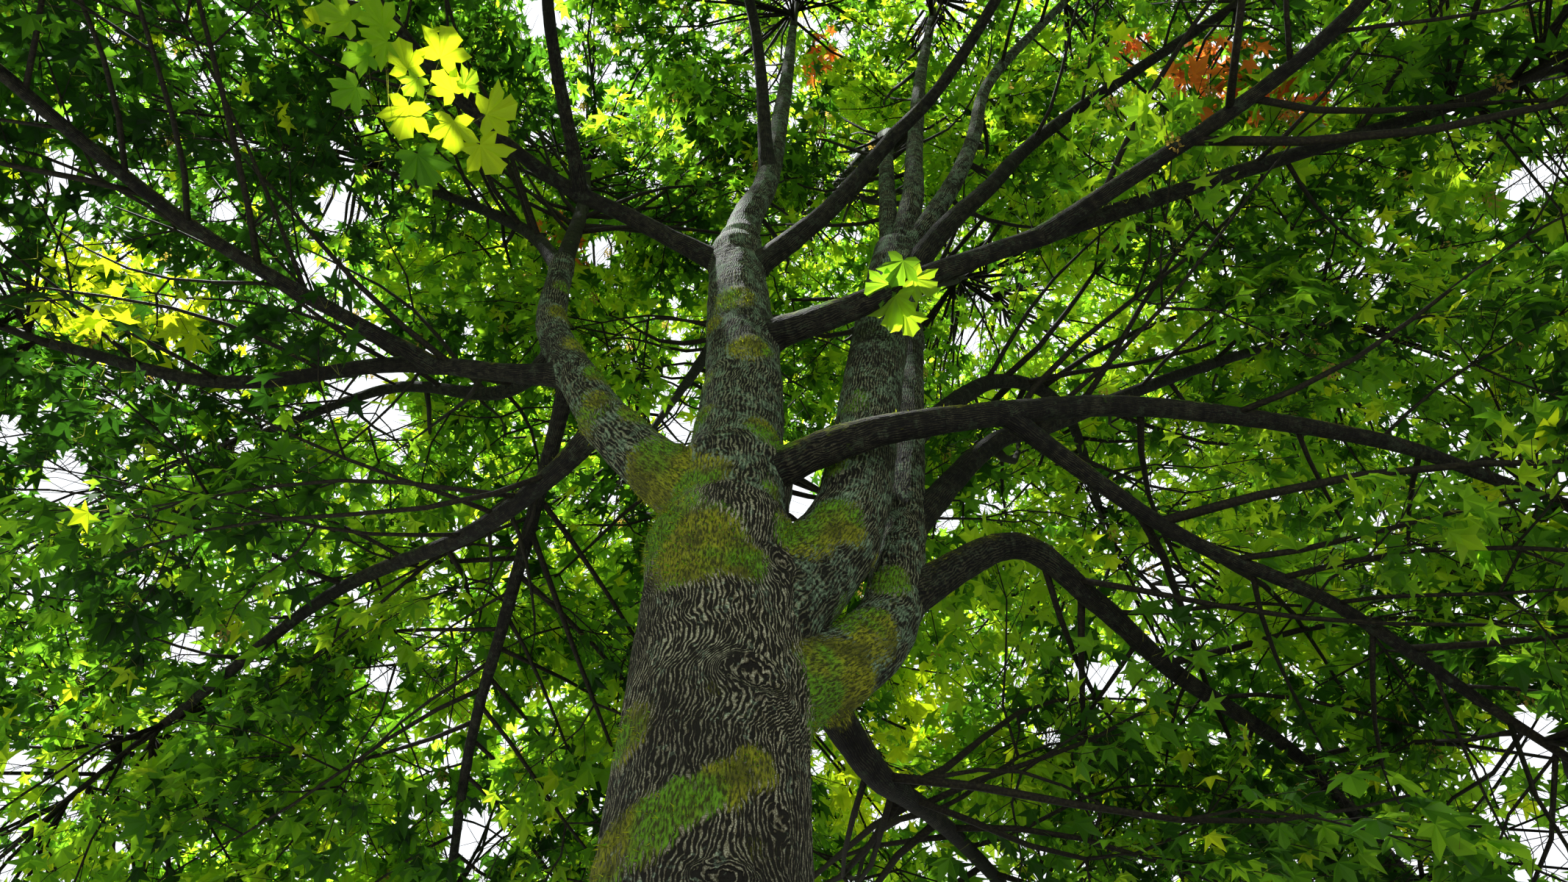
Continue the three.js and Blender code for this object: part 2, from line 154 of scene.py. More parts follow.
def square_to(way, vectors):
    """Each vector less its part along a way that is one long, and then made one long itself."""
    return unit(vectors - way * dot(way, vectors))


def eased(x, low, high):
    """0 below low, 1 above high, and a smooth ramp between them: t squared times 3 minus 2 t."""
    t = np.clip((x - low) / (high - low), 0, 1)
    return t * t * (3 - 2 * t)


print("three draws:", [round(float(chance(1, 2, i)), 3) for i in range(3)])

# %% [markdown]
# The stems and boughs
#
# The trunk forks at 6 m into a centre stem, a left stem and two right ones, and 27 boughs arch out of
# them. Sculpting could place them, but then nothing would tie them to the CAD tree. So this is the
# CAD's own list, in metres: what each limb grows on and where, its two radii, the points that it
# passes and its tip. A smooth curve through the points is the limb's middle line.

# %% List of limbs
UP = np.array([0.0, 0, 1])
COLLAR = 0.35
COLLAR_FADE = 7
AT_THE_TIP = 0.9


def curve_at(points, shares):
    """Points on the smooth curve through `points` at shares from 0 to 1: in each span, the cubic whose
    ends are two of the points and whose slopes there are half the step between their neighbours."""
    points = np.asarray(points, float)
    ends = np.vstack([2 * points[0] - points[1], points, 2 * points[-1] - points[-2]])
    place = np.clip(np.atleast_1d(shares), 0, 1) * (len(points) - 1)
    span = np.minimum(place.astype(int), len(points) - 2)
    t = (place - span)[:, None]
    before, start, end, after = (ends[span + i] for i in range(4))
    slope, last = (end - before) / 2, (after - start) / 2
    return (
        start
        + slope * t
        + (3 * (end - start) - 2 * slope - last) * t**2
        + (2 * (start - end) + slope + last) * t**3
    )


def ways_at(points, shares):
    """The curve's direction at each share: the step between two points just beside it, made one long."""
    shares = np.atleast_1d(shares)
    low, high = np.clip(shares - 1e-4, 0, 1), np.clip(shares + 1e-4, 0, 1)
    return unit(curve_at(points, high) - curve_at(points, low))


class Limb:
    """A trunk, stem or bough: the limb that it grows on and the share of that one's length, its radii at
    its start and its tip, the points that it passes, and its tip."""

    def __init__(self, on, at, thick, thin, via, tip, leafy=True, seed=0):
        self.on, self.at, self.thick, self.thin = on, at, thick, thin
        self.via, self.tip, self.leafy, self.seed = via, tip, leafy, seed

    def radius(self, share):
        """An even taper, plus a collar at the start, which fades with the share of the length."""
        collar = 0 if self.on is None or self.at > AT_THE_TIP else COLLAR * self.thick
        return self.thick + (self.thin - self.thick) * share + collar * np.exp(-COLLAR_FADE * share)


LIMBS = {
    "trunk": Limb(None, 0, 0.605, 0.4, [(-0.02, 0.02, 2), (0.01, 0, 4.2)], (0, 0, 6.3), leafy=False),
    "centre_stem": Limb("trunk", 0.95, 0.32, 0.205,
        [(0.06, 0, 7.35), (0.01, 0.02, 8.48)], (-0.06, 0.04, 9.5), leafy=False),
    "left_stem": Limb("centre_stem", 0.05, 0.185, 0.095,
        [(-0.68, -0.04, 6.89), (-1.08, -0.02, 7.58), (-1.42, 0.02, 8.38)], (-1.5, 0.06, 9.35), leafy=False),
    "right_stem": Limb("trunk", 0.82, 0.25, 0.2,
        [(0.47, 0.06, 5.78), (0.76, 0.07, 6.4), (0.94, 0.1, 7.57)], (1.3, 0.1, 9.55), leafy=False),
    "back_stem": Limb("trunk", 0.76, 0.215, 0.11,
        [(0.8, 0.3, 5.48), (1.04, 0.42, 6.16), (1.22, 0.56, 7.46)], (1.48, 0.9, 9.6), leafy=False),
    "centre_top": Limb("centre_stem", 0.97, 0.165, 0.05,
        [(0.02, 0.04, 10.1), (0.19, 0.06, 10.9), (0.34, 0.09, 12.9)], (0.45, 0.15, 15.2)),
    "centre_front_top": Limb("centre_top", 0.5, 0.062, 0.038, [(0, -0.9, 12.8)], (-0.7, -2.5, 14.3)),
    "left_top": Limb("left_stem", 0.97, 0.07, 0.04, [(-2.11, 0.3, 10.4)], (-3.7, 0.6, 12)),
    "left_back_top": Limb("left_stem", 0.97, 0.08, 0.042, [(-1.65, 0.5, 11.2)], (-2.1, 1.4, 13.9)),
    "right_top": Limb("right_stem", 0.97, 0.12, 0.05,
        [(1.5, 0.06, 10.4), (1.63, 0.1, 11.5), (1.91, 0.2, 13.7)], (2.3, 0.3, 16), seed=2),
    "right_inner_top": Limb("right_stem", 0.95, 0.095, 0.045,
        [(1.29, 0.17, 10.4), (1.37, 0.24, 11.65), (1.5, 0.7, 13.3)], (1, 2.1, 14.8)),
    "right_outer_top": Limb("right_stem", 0.97, 0.095, 0.045,
        [(1.83, -0.04, 10.43), (2.16, -0.1, 11.35), (2.58, -0.1, 12.93)], (3.7, -0.3, 14.8)),
    "right_far_top": Limb("right_stem", 0.9, 0.095, 0.045,
        [(1.65, -0.1, 9.55), (2.15, -0.2, 10.2), (2.85, -0.3, 11.18)], (4.6, -0.9, 12.4)),
    "back_top": Limb("back_stem", 0.97, 0.1, 0.045, [(1.75, 1.6, 11.4)], (2.6, 2.9, 13.7), seed=1),
    "right_low_bough": Limb("centre_stem", 0.12, 0.105, 0.042,
        [(0.7, -0.33, 6.56), (1.3, -0.38, 6.7), (2.7, -0.1, 7.2), (4.56, 0.4, 7.46)], (5.6, 0.7, 7.3)),
    "right_drooping_bough": Limb("right_low_bough", 0.47, 0.052, 0.036,
        [(2.88, 0.4, 6.51), (3.83, 0.65, 6.13)], (4.7, 1, 5.6), seed=1),
    "right_long_bough": Limb("centre_stem", 0.54, 0.1, 0.045,
        [(0.79, -0.35, 8), (1.47, -0.5, 8.28), (3.28, -0.8, 8.91)], (5.4, -1.2, 9.5), seed=1),
    "right_front_bough": Limb("right_long_bough", 0.62, 0.055, 0.036, [(3.9, -2.1, 8.6)], (4.7, -4.1, 8.3)),
    "front_right_bough": Limb("centre_stem", 0.84, 0.085, 0.04,
        [(0.7, -0.25, 9.65), (1.28, -0.5, 10.5), (1.9, -0.9, 11.2)], (2.9, -2.4, 12)),
    "front_left_bough": Limb("centre_stem", 0.88, 0.075, 0.038,
        [(-0.88, -0.15, 9.65), (-1.7, -0.5, 9.9), (-2.5, -1.2, 10.2)], (-3.5, -2.6, 10.6), seed=2),
    "front_bough": Limb("front_left_bough", 0.4, 0.048, 0.036, [(-1.4, -2.3, 10)], (-0.5, -4.4, 10.2)),
    "left_bough": Limb("left_stem", 0.52, 0.072, 0.04,
        [(-1.66, 0.06, 7.8), (-2.57, 0.15, 8.02), (-3.89, 0.3, 8.01)], (-5.4, 0.3, 8.5), seed=2),
    "left_front_bough": Limb("left_bough", 0.42, 0.048, 0.036,
        [(-3.6, -1.1, 7.9)], (-4.7, -2.9, 7.7), seed=1),
    "left_far_bough": Limb("left_stem", 0.64, 0.062, 0.038,
        [(-1.95, 0.7, 8.4), (-3.19, 1.3, 9.25)], (-4.8, 2.3, 9.9)),
    "left_low_bough": Limb("left_stem", 0.34, 0.07, 0.04,
        [(-1.24, 0.3, 6.94), (-1.86, 0.8, 6.91), (-3.17, 1.7, 7.13)], (-4.69, 2.9, 6.9)),
    "back_left_bough": Limb("left_stem", 0.56, 0.055, 0.036,
        [(-1.48, 0.9, 7.51), (-1.84, 1.9, 6.99), (-2.19, 2.9, 6.61)], (-2.6, 4.5, 6.3)),
    "back_bough": Limb("centre_stem", 0.36, 0.07, 0.038, [(0.15, 1.7, 8.1)], (0.1, 4.8, 9)),
    "back_high_bough": Limb("centre_stem", 0.8, 0.072, 0.04, [(-0.4, 1.5, 10.1)], (-1.3, 4, 12)),
    "low_back_bough": Limb("back_stem", 0.14, 0.085, 0.04,
        [(0.83, 0.7, 4.96), (1.08, 1.2, 5.09), (1.47, 2, 5.3)], (2.4, 4.3, 5.9)),
    "right_falling_bough": Limb("back_stem", 0.4, 0.095, 0.04,
        [(1.89, 0.7, 6.69), (2.55, 1.2, 6.61), (3.25, 1.9, 6.54), (4.31, 2.7, 6.4)], (5.3, 3.7, 6.1), seed=2),
    "right_back_bough": Limb("back_stem", 0.78, 0.075, 0.04,
        [(2.2, 1.15, 9.15), (3.05, 1.9, 9.7)], (3.9, 3.8, 10.4), seed=2),
    "right_rising_bough": Limb("back_stem", 0.58, 0.08, 0.04,
        [(1.88, 0.7, 7.73), (2.44, 0.8, 8.11), (3.86, 1.2, 9.3)], (5.7, 1.9, 10.9)),
}
for limb_name, limb in LIMBS.items():
    start = curve_at(LIMBS[limb.on].points, limb.at)[0] if limb.on else np.zeros(3)
    limb.name = limb_name
    limb.points = np.array([start, *limb.via, limb.tip], float)
leafy_limbs = [limb for limb in LIMBS.values() if limb.leafy]
print(len(LIMBS), "limbs,", len(leafy_limbs), "of them end in leaves")

# %% [markdown]
# Tubes
#
# A limb is a ring carried along a curve. Blender's curve object could bevel itself, but its rings
# can't swell, wrinkle or carry moss. So the rings are laid with numpy: one direction square to the
# curve is carried from each step to the next, so that the tube never twists.

# %% Rings along a curve
def turned(along, angle):
    """A direction square to `along`: sideways or up, less its part along, turned round it by an angle."""
    steady = np.array([1.0, 0, 0]) if abs(along[2]) > 0.8 else UP
    side = unit(steady - along * (along @ steady))
    return side * math.cos(angle) + np.cross(along, side) * math.sin(angle)


def frames_along(points, shares, first, turn=0.0):
    """The middle, direction and two square directions of each ring. Each side direction is the last
    one, less its part along the curve, made one long."""
    middle = curve_at(points, shares)
    along = ways_at(points, shares)
    along[0] = first
    side = np.empty_like(along)
    last = turned(first, turn)
    for i, way in enumerate(along):
        last = unit(last - way * (way @ last))
        side[i] = last
    return middle, along, side, np.cross(along, side)


def grid_quads(rows, columns):
    """The quads of rows of corners, each row closed on itself, facing out of the tube."""
    i, j = np.meshgrid(np.arange(rows - 1), np.arange(columns), indexing="ij")
    k = (j + 1) % columns
    here, beside = i * columns + j, i * columns + k
    return np.stack([here, beside, beside + columns, here + columns], -1).reshape(-1, 4)


def mesh_piece(name, corners, polygons, smooth=True, material_of=None, materials=()):
    """A new mesh object from an array of corners and arrays of polygons, one array for each number of
    sides. material_of gives each polygon's place in the list of materials."""
    mesh = bpy.data.meshes.new(name)
    sizes = np.concatenate([np.full(len(p), p.shape[1]) for p in polygons])
    loops = np.concatenate([p.ravel() for p in polygons])
    mesh.vertices.add(len(corners))
    mesh.vertices.foreach_set("co", np.ascontiguousarray(corners, np.float32).ravel())
    mesh.loops.add(len(loops))
    mesh.loops.foreach_set("vertex_index", loops.astype(np.int32))
    mesh.polygons.add(len(sizes))
    mesh.polygons.foreach_set("loop_start", (np.cumsum(sizes) - sizes).astype(np.int32))
    mesh.polygons.foreach_set("use_smooth", np.full(len(sizes), smooth))
    if material_of is not None:
        mesh.polygons.foreach_set("material_index", np.asarray(material_of, np.int32))
    mesh.update(calc_edges=True)
    for material in materials:
        mesh.materials.append(material)
    piece = bpy.data.objects.new(name, mesh)
    bpy.context.scene.collection.objects.link(piece)
    return piece


def triangles_in(piece):
    """How many triangles a piece's polygons come to: each one's corners less two."""
    return len(piece.data.loops) - 2 * len(piece.data.polygons)

# %% [markdown]
# Shader sums written as sums
#
# Bark, moss and lichen are mixed from noise by dozens of small sums. Nodes could be placed and wired
# one by one, but then nobody could read the recipe. So a small class wraps a socket, and plus, minus
# and times on it add the Math nodes.

# %% Paint box
class Value:
    """A number that varies over a surface: a socket, whose sums and products add Math nodes."""

    def __init__(self, paint, socket):
        self.paint, self.socket = paint, socket

    def sum(self, operation, first, second):
        """One Math node on two values or numbers."""
        return self.paint.node("ShaderNodeMath", {"operation": operation}, {0: first, 1: second})

    def __add__(self, other):
        return self.sum("ADD", self, other)

    def __sub__(self, other):
        return self.sum("SUBTRACT", self, other)

    def __rsub__(self, other):
        return self.sum("SUBTRACT", other, self)

    def __mul__(self, other):
        return self.sum("MULTIPLY", self, other)

    __radd__ = __add__
    __rmul__ = __mul__

    def wave(self):
        """A stripe for each whole number: the cosine of the value times two pi."""
        return self.sum("COSINE", self * (2 * math.pi), 0.0)

    def ramp(self, low, high, to_low=0.0, to_high=1.0):
        """A smooth ramp from to_low to to_high as the value goes from low to high."""
        settings = {"interpolation_type": "SMOOTHSTEP"}
        values = {0: self, 1: low, 2: high, 3: to_low, 4: to_high}
        return self.paint.node("ShaderNodeMapRange", settings, values)


class Paint:
    """A material and the making of its nodes."""

    def __init__(self, name):
        self.material = bpy.data.materials.new(name)
        self.material.use_nodes = True
        self.tree = self.material.node_tree
        self.tree.nodes.clear()

    def node(self, kind, settings, values, output=0):
        """A node of one kind: its settings first, then a number or a link for each named socket. Gives
        back one of its outputs."""
        made = self.tree.nodes.new(kind)
        for key, setting in settings.items():
            setattr(made, key, setting)
        for key, value in values.items():
            if isinstance(value, Value):
                self.tree.links.new(value.socket, made.inputs[key])
            else:
                made.inputs[key].default_value = value
        return Value(self, made.outputs[output])

    def stretched(self, vector, sizes):
        """A vector whose three parts are multiplied by three sizes."""
        return self.node("ShaderNodeVectorMath", {"operation": "MULTIPLY"}, {0: vector, 1: sizes})

    def noise(self, vector, scale, detail=2.0):
        """Blender's own noise, from 0 to 1."""
        return self.node("ShaderNodeTexNoise", {}, {"Vector": vector, "Scale": scale, "Detail": detail})

    def mixed(self, factor, first, second):
        """The first colour where the factor is 0 and the second where it is 1."""
        values = {"Factor": factor, 6: first, 7: second}
        return self.node("ShaderNodeMix", {"data_type": "RGBA"}, values, 2)

    def finished(self, shader):
        """The material, once its shader is wired to its output."""
        output = self.tree.nodes.new("ShaderNodeOutputMaterial")
        self.tree.links.new(shader.socket, output.inputs["Surface"])
        return self.material


# %% [markdown]
# Bark, moss and lichen
#
# The trunk's bark is grey-brown and finely lined: ridges 2 to 3 cm apart run up it, waver, fork and
# join, and flow round every scar. Boughs are smoother, and very dark: partly their own darker bark and
# partly painted shade, as they are seen shaded against the bright sky. Pale grey-green lichen lies on
# both in spots, and moss in cushions where rain runs down. A photograph of bark could be laid on, but it
# would repeat. Here each limb keeps a count of lines round it, whole so that it closes on itself. A
# cosine makes them ridges, noise makes them waver and breaks them into beads, and a patchy swap to four
# lines for three makes forks. The furrows are near black and the ridge tops paler: partly the bark's own
# colours, and partly painted shade in the furrows and a painted highlight on the ridge tops.

# %% Bark finishes
# The furrow colour is partly the bark's own dark and partly painted shade; the ridge-top colour is partly
# weathering and partly a painted highlight.
FURROW_PAINTED_SHADE = (0.007, 0.006, 0.004)
RIDGE = (0.160, 0.150, 0.106)
WEATHERED_PAINTED_HIGHLIGHT = (0.430, 0.410, 0.330)
WARM = (0.100, 0.082, 0.050)
LICHEN = (0.150, 0.225, 0.160)
PALE_LICHEN = (0.340, 0.430, 0.345)
# The dark moss colour lies in the hollows between tufts: partly the moss's own colour, partly painted shade.
MOSS_DARK = (0.026, 0.030, 0.004)
MOSS = (0.085, 0.092, 0.008)
MOSS_BRIGHT = (0.215, 0.230, 0.010)
MOSS_FRESH = (0.095, 0.235, 0.008)


def toned(colour, tone):
    """A colour times a tone, which is one number or one for each of red, green and blue, with its alpha."""
    return (*(np.array(colour) * tone), 1)


def bark_paint(name, tone, wrinkles, lichen, depth):
    """Bark from two maps on the points: `lines`, whose first part counts ridges round the limb, and
    `grain`, the place on the limb laid straight. The rest are the darkness of the wood, the amounts of
    cross wrinkles and of lichen, and the depth of the furrows in metres."""
    paint = Paint(name)
    grain = paint.node("ShaderNodeAttribute", {"attribute_name": "grain"}, {}, "Vector")
    lines = paint.node("ShaderNodeAttribute", {"attribute_name": "lines"}, {}, "Vector")
    moss = paint.node("ShaderNodeAttribute", {"attribute_name": "moss"}, {}, "Fac")
    place = paint.node("ShaderNodeTexCoord", {}, {}, "Object")
    count = paint.node("ShaderNodeSeparateXYZ", {}, {0: lines}, 0)

    waver = paint.noise(grain, 6.0) * 2.6 + paint.noise(paint.stretched(grain, (26, 26, 15)), 1.0) * 1.7
    count = count + waver
    forked = paint.noise(paint.stretched(grain, (5, 5, 2.6)), 1.0).ramp(0.48, 0.52)
    line = count.wave() * (1 - forked) + (count * (4 / 3)).wave() * forked
    bead = paint.noise(paint.stretched(grain, (38, 38, 20)), 1.0, 3.0)
    ridge = (line * 0.5 + bead * 2.4 - 1.2).ramp(-0.40, 0.60)
    ring = paint.noise(paint.stretched(grain, (4, 4, 26)), 1.0, 3.0).ramp(0.38, 0.62)
    grit = paint.noise(place, 160.0, 4.0)
    ridge = ridge * (1 - 0.5 * wrinkles) + ring * (0.5 * wrinkles)

    patch = paint.noise(place, 2.2, 4.0)
    body = paint.mixed(patch.ramp(0.38, 0.66), toned(WARM, tone), toned(RIDGE, tone))
    # Ridge tops paler, partly weathering and partly a painted highlight; furrows near black, partly the
    # bark's own colour and partly painted shade.
    tops = paint.mixed(grit.ramp(0.40, 0.66) * ridge.ramp(0.5, 1.0), body, toned(WEATHERED_PAINTED_HIGHLIGHT, tone))
    wood = paint.mixed(ridge.ramp(0.22, 0.88), toned(FURROW_PAINTED_SHADE, tone), tops)
    # Large darker patches at random over the bark, mixed up to halfway towards the furrow colour.
    dark_blotches = paint.noise(place, 1.5, 3.0).ramp(0.42, 0.62)
    wood = paint.mixed(dark_blotches * 0.5, wood, toned(FURROW_PAINTED_SHADE, tone))

    spots = paint.noise(place, 9.0, 6.0) * 0.55 + paint.noise(place, 40.0, 3.0) * 0.45
    pale = spots.ramp(0.60 - 0.13 * lichen, 0.66 - 0.09 * lichen) * ridge.ramp(0.05, 0.5, 0.3, 1.0)
    crust = paint.mixed(grit.ramp(0.35, 0.65), toned(LICHEN, tone), toned(PALE_LICHEN, tone))
    skinned = paint.mixed(pale * (0.5 + 0.35 * lichen), wood, crust)

    tuft = paint.noise(paint.stretched(grain, (95, 95, 30)), 1.0, 4.0)
    damp = paint.noise(place, 5.0, 3.0)
    green = paint.mixed(damp.ramp(0.36, 0.62), toned(MOSS, 1), toned(MOSS_BRIGHT, 1))
    green = paint.mixed(paint.noise(place, 2.6, 3.0).ramp(0.47, 0.60), green, toned(MOSS_FRESH, 1))
    # Moss is darker where its tufts are low: partly its own darker colour and partly painted shade in the
    # hollows.
    moss_colour = paint.mixed(tuft.ramp(0.36, 0.66), toned(MOSS_DARK, 1), green)
    edge = (moss + tuft * 0.6 - 0.3 + (0.5 - ridge) * 0.35).ramp(0.34, 0.66)
    colour = paint.mixed(edge, skinned, moss_colour)

    height = ridge * (1 - edge) + grit * 0.12 + pale * 0.08 + edge * (tuft * 1.3 + 0.5)
    bump = paint.node("ShaderNodeBump", {}, {"Strength": 1.0, "Distance": depth, "Height": height}, "Normal")
    rough = pale.ramp(0.0, 1.0, 0.88, 0.97)
    values = {"Base Color": colour, "Roughness": rough, "Normal": bump, "Specular IOR Level": 0.2}
    return paint.finished(paint.node("ShaderNodeBsdfPrincipled", {}, values))


def twig_paint():
    """Twig bark: dark grey-brown, paler in specks."""
    paint = Paint("twig bark")
    place = paint.node("ShaderNodeTexCoord", {}, {}, "Object")
    speck = paint.noise(place, 60.0, 3.0)
    colour = paint.mixed(speck.ramp(0.4, 0.7), (0.007, 0.006, 0.004, 1), (0.022, 0.021, 0.011, 1))
    bump = paint.node("ShaderNodeBump", {}, {"Distance": 0.002, "Height": speck}, "Normal")
    rough = speck.ramp(0.3, 0.7, 0.75, 0.9)
    values = {"Base Color": colour, "Roughness": rough, "Normal": bump, "Specular IOR Level": 0.12}
    return paint.finished(paint.node("ShaderNodeBsdfPrincipled", {}, values))


TRUNK_BARK = bark_paint("trunk bark", tone=(0.84, 0.88, 0.76), wrinkles=0.0, lichen=0.25, depth=0.018)
STEM_BARK = bark_paint("stem bark", tone=(0.54, 0.62, 0.48), wrinkles=0.5, lichen=0.85, depth=0.012)
# The boughs' very low tone is partly their own darker bark and partly painted shade, as they are seen shaded
# against the bright sky.
BOUGH_BARK = bark_paint("bough bark", tone=(0.12, 0.125, 0.09), wrinkles=0.6, lichen=0.5, depth=0.005)
TWIG_BARK = twig_paint()
print("bark finishes:", [m.name for m in (TRUNK_BARK, STEM_BARK, BOUGH_BARK, TWIG_BARK)])

# %% [markdown]
# Where the moss sits
#
# Moss grows where water runs or stays: in the fork, on the shoulders of the stems, on the upper side of
# a leaning limb and in a slanting band across the trunk. It could be scattered by noise alone, but the
# real cushions have their own places, so each is a soft ball in space, and the skin inside it is green.

# %% Moss map
MOSS_BALLS = np.array([
    # x, y, z, radius, strength
    (-0.12, -0.40, 5.62, 0.36, 1.0), (-0.33, -0.22, 5.95, 0.36, 1.0), (0.10, -0.38, 5.50, 0.20, 0.9),
    (0.44, -0.20, 5.88, 0.26, 0.9), (0.66, -0.14, 6.05, 0.22, 0.8), (-0.40, -0.12, 6.5, 0.34, 0.9),
    (-0.30, -0.12, 7.0, 0.25, 0.7), (0.30, -0.27, 6.2, 0.14, 0.8), (-0.14, -0.26, 6.25, 0.24, 0.9),
    (-0.42, -0.28, 3.90, 0.22, 0.8), (-0.25, -0.42, 3.96, 0.20, 0.9), (-0.08, -0.46, 4.05, 0.17, 0.9),
    (0.08, -0.47, 4.14, 0.16, 1.0), (0.22, -0.43, 4.24, 0.15, 0.9), (-0.38, -0.26, 4.52, 0.20, 0.8),
    (0.62, 0.05, 5.05, 0.36, 1.0), (0.80, 0.10, 5.45, 0.26, 0.8), (0.52, 0.02, 4.80, 0.22, 0.8),
    (-0.02, -0.22, 8.35, 0.22, 0.8), (0.10, -0.26, 7.64, 0.20, 0.8), (0.22, -0.24, 6.72, 0.20, 0.7),
    (-0.9, -0.1, 7.1, 0.25, 0.6), (0.3, 0.45, 5.6, 0.4, 0.9), (-0.45, 0.35, 0.5, 0.5, 0.8),
    (0.55, 0.45, 0.6, 0.45, 0.8), (0.1, 0.62, 1.5, 0.5, 0.7), (-0.5, -0.3, 0.3, 0.35, 0.7),
    (-0.60, -0.18, 7.04, 0.19, 0.9), (-0.90, -0.16, 7.52, 0.19, 0.85), (-1.13, -0.14, 7.92, 0.18, 0.8),
    (-1.31, -0.12, 8.36, 0.17, 0.75), (-1.38, -0.10, 8.80, 0.15, 0.7), (-0.24, -0.20, 7.42, 0.17, 0.7),
    (-0.22, -0.16, 8.10, 0.16, 0.65), (0.62, -0.16, 6.60, 0.17, 0.7), (0.80, -0.14, 7.25, 0.18, 0.65),
    (0.98, 0.18, 5.95, 0.20, 0.7),
])
CUSHION = 0.014
FLANK = 0.42
BALL_EDGE = (0.45, 1.15)


def moss_at(place, out, steep):
    """How much moss there is at each point, from 0 to about 1: the strongest ball's strength, fading to
    its edge, or, where the limb leans, how far the skin faces up, and a little down its flanks. Both are
    broken by noise."""
    ball = np.zeros(len(place))
    for x, y, z, radius, strength in MOSS_BALLS:
        away = np.linalg.norm(place - (x, y, z), axis=1) / radius
        ball = np.maximum(ball, strength * (1 - eased(away, *BALL_EDGE)))
    ledge = np.clip(out[:, 2] + FLANK, 0, 1) * steep * (0.55 + 0.45 * layered(place * 1.7, 31))
    broken = 0.34 * layered(place * 9, 32) + 0.22 * layered(place * 2.6, 33) - 0.05
    return np.clip(np.maximum(ball, ledge) + broken, 0, 1.2)


print(len(MOSS_BALLS), "cushions of moss")

# %% [markdown]
# Wood as shape
#
# The skin of each limb is more than a cone. It swells and flutes, the bark stands in long broken
# plates, healed branch scars look like eyes, and where a bough leaves its carrier the wood flows from
# one into the other. Sculpting could do one of them. Here each is a small height added to the radius,
# worked out for all the points of a limb at once.

# %% Skin of the wood
FLARE = {"spread": 0.33, "height": 0.52, "ridges": 5}
LIMB_STEPS = 64
JOINT_REACH = 0.8
KNOT_REACH = 3.5
SCAR = {"rim": 0.024, "hollow": 0.034, "rings": 0.004, "full width": 0.17}
ROUGH = {"swell": 0.075, "flute": 0.045, "plates": 0.011, "slivers": 0.006}
SCARS = [
    # x, y, z, half width, half height
    (0.21, -0.40, 4.76, 0.17, 0.10), (0.31, -0.29, 5.59, 0.075, 0.085), (0.32, -0.355, 4.03, 0.065, 0.07),
    (0.10, -0.47, 3.72, 0.12, 0.06), (-0.30, -0.37, 3.30, 0.07, 0.07), (0.24, -0.45, 2.70, 0.10, 0.09),
    (-0.34, -0.33, 2.10, 0.10, 0.08), (0.42, 0.30, 3.30, 0.12, 0.09), (-0.20, 0.44, 4.30, 0.09, 0.07),
]


def distance_to(limb, place):
    """Roughly how far each point is from a limb's skin: the least, over steps along its middle line, of
    the distance from the step less the radius there."""
    shares = np.linspace(0, 1, LIMB_STEPS)
    nearest = np.full(len(place), 1e9)
    for middle, radius in zip(curve_at(limb.points, shares), limb.radius(shares)):
        nearest = np.minimum(nearest, np.linalg.norm(place - middle, axis=1) - radius)
    return nearest


def flow_into(limb, place):
    """How far the skin is drawn out beside the limb that carries it and the limbs that it carries: a
    quarter of the joint's reach, times the square of the share of the reach by which the point is nearer
    to the other's skin. The reach goes with the thinner limb's radius."""
    family = [other for other in LIMBS.values() if limb.name == other.on or other.name == limb.on]
    drawn = np.zeros(len(place))
    for other in family:
        reach = JOINT_REACH * min(other.thick, limb.thick)
        near = np.clip(reach - np.abs(distance_to(other, place)), 0, None) / reach
        drawn = np.maximum(drawn, near**2 * reach / 4)
    return drawn


def knots_of(limb):
    """What the lines of a limb's bark flow round: the trunk's scars, and the feet of the limbs on it. Each
    is a place and half a width and height."""
    scars = SCARS if limb.on is None else []
    feet = [(*other.points[0], 1.25 * other.thick, 1.5 * other.thick) for other in LIMBS.values()
            if other.on == limb.name and other.at < AT_THE_TIP]
    return [*scars, *feet]


def from_knot(knot, place, along, around):
    """How far each place is from a knot: aside of it in metres, in knots, where 1 is the rim, and through
    the wood in metres."""
    away = place - np.array(knot[:3])
    aside, up = dot(away, around)[:, 0], dot(away, along)[:, 0]
    square = np.sum(away**2, axis=1)
    through = np.sqrt(np.clip(square - aside**2 - up**2, 0, None))
    return aside, np.sqrt((aside / knot[3]) ** 2 + (up / knot[4]) ** 2), through


def lines_moved(limb, place, along, around):
    """How far sideways the bark's lines are moved by the knots, in metres. Outside a knot they flow round
    it as water does round a post: aside times 1 less 1 over r squared. Inside they are rings."""
    moved = np.zeros(len(place))
    for knot in knots_of(limb):
        aside, r, through = from_knot(knot, place, along, around)
        flow = np.where(r > 1, -aside / np.maximum(r, 1) ** 2, -aside - 0.6 * knot[3] * (1 - r**2))
        reach = KNOT_REACH * max(knot[3:])
        moved += flow * np.exp(-((r * knot[3] / reach) ** 2) - (through / max(limb.thick, 0.2)) ** 4)
    return moved


def scar_height(limb, place, along, around):
    """Healed branch scars: a raised rim round each, a hollow within it and fine rings outside."""
    height = np.zeros(len(place))
    for knot in SCARS if limb.on is None else []:
        _, r, through = from_knot(knot, place, along, around)
        size = knot[3] / SCAR["full width"]
        rim = SCAR["rim"] * np.exp(-(((r - 1) / 0.25) ** 2)) - SCAR["hollow"] * np.exp(-((r / 0.65) ** 2))
        rings = SCAR["rings"] * np.cos(16 * r) * np.exp(-((r - 1.2) ** 2))
        height += size**0.5 * np.exp(-((through / 0.25) ** 4)) * (rim + rings)
    return height


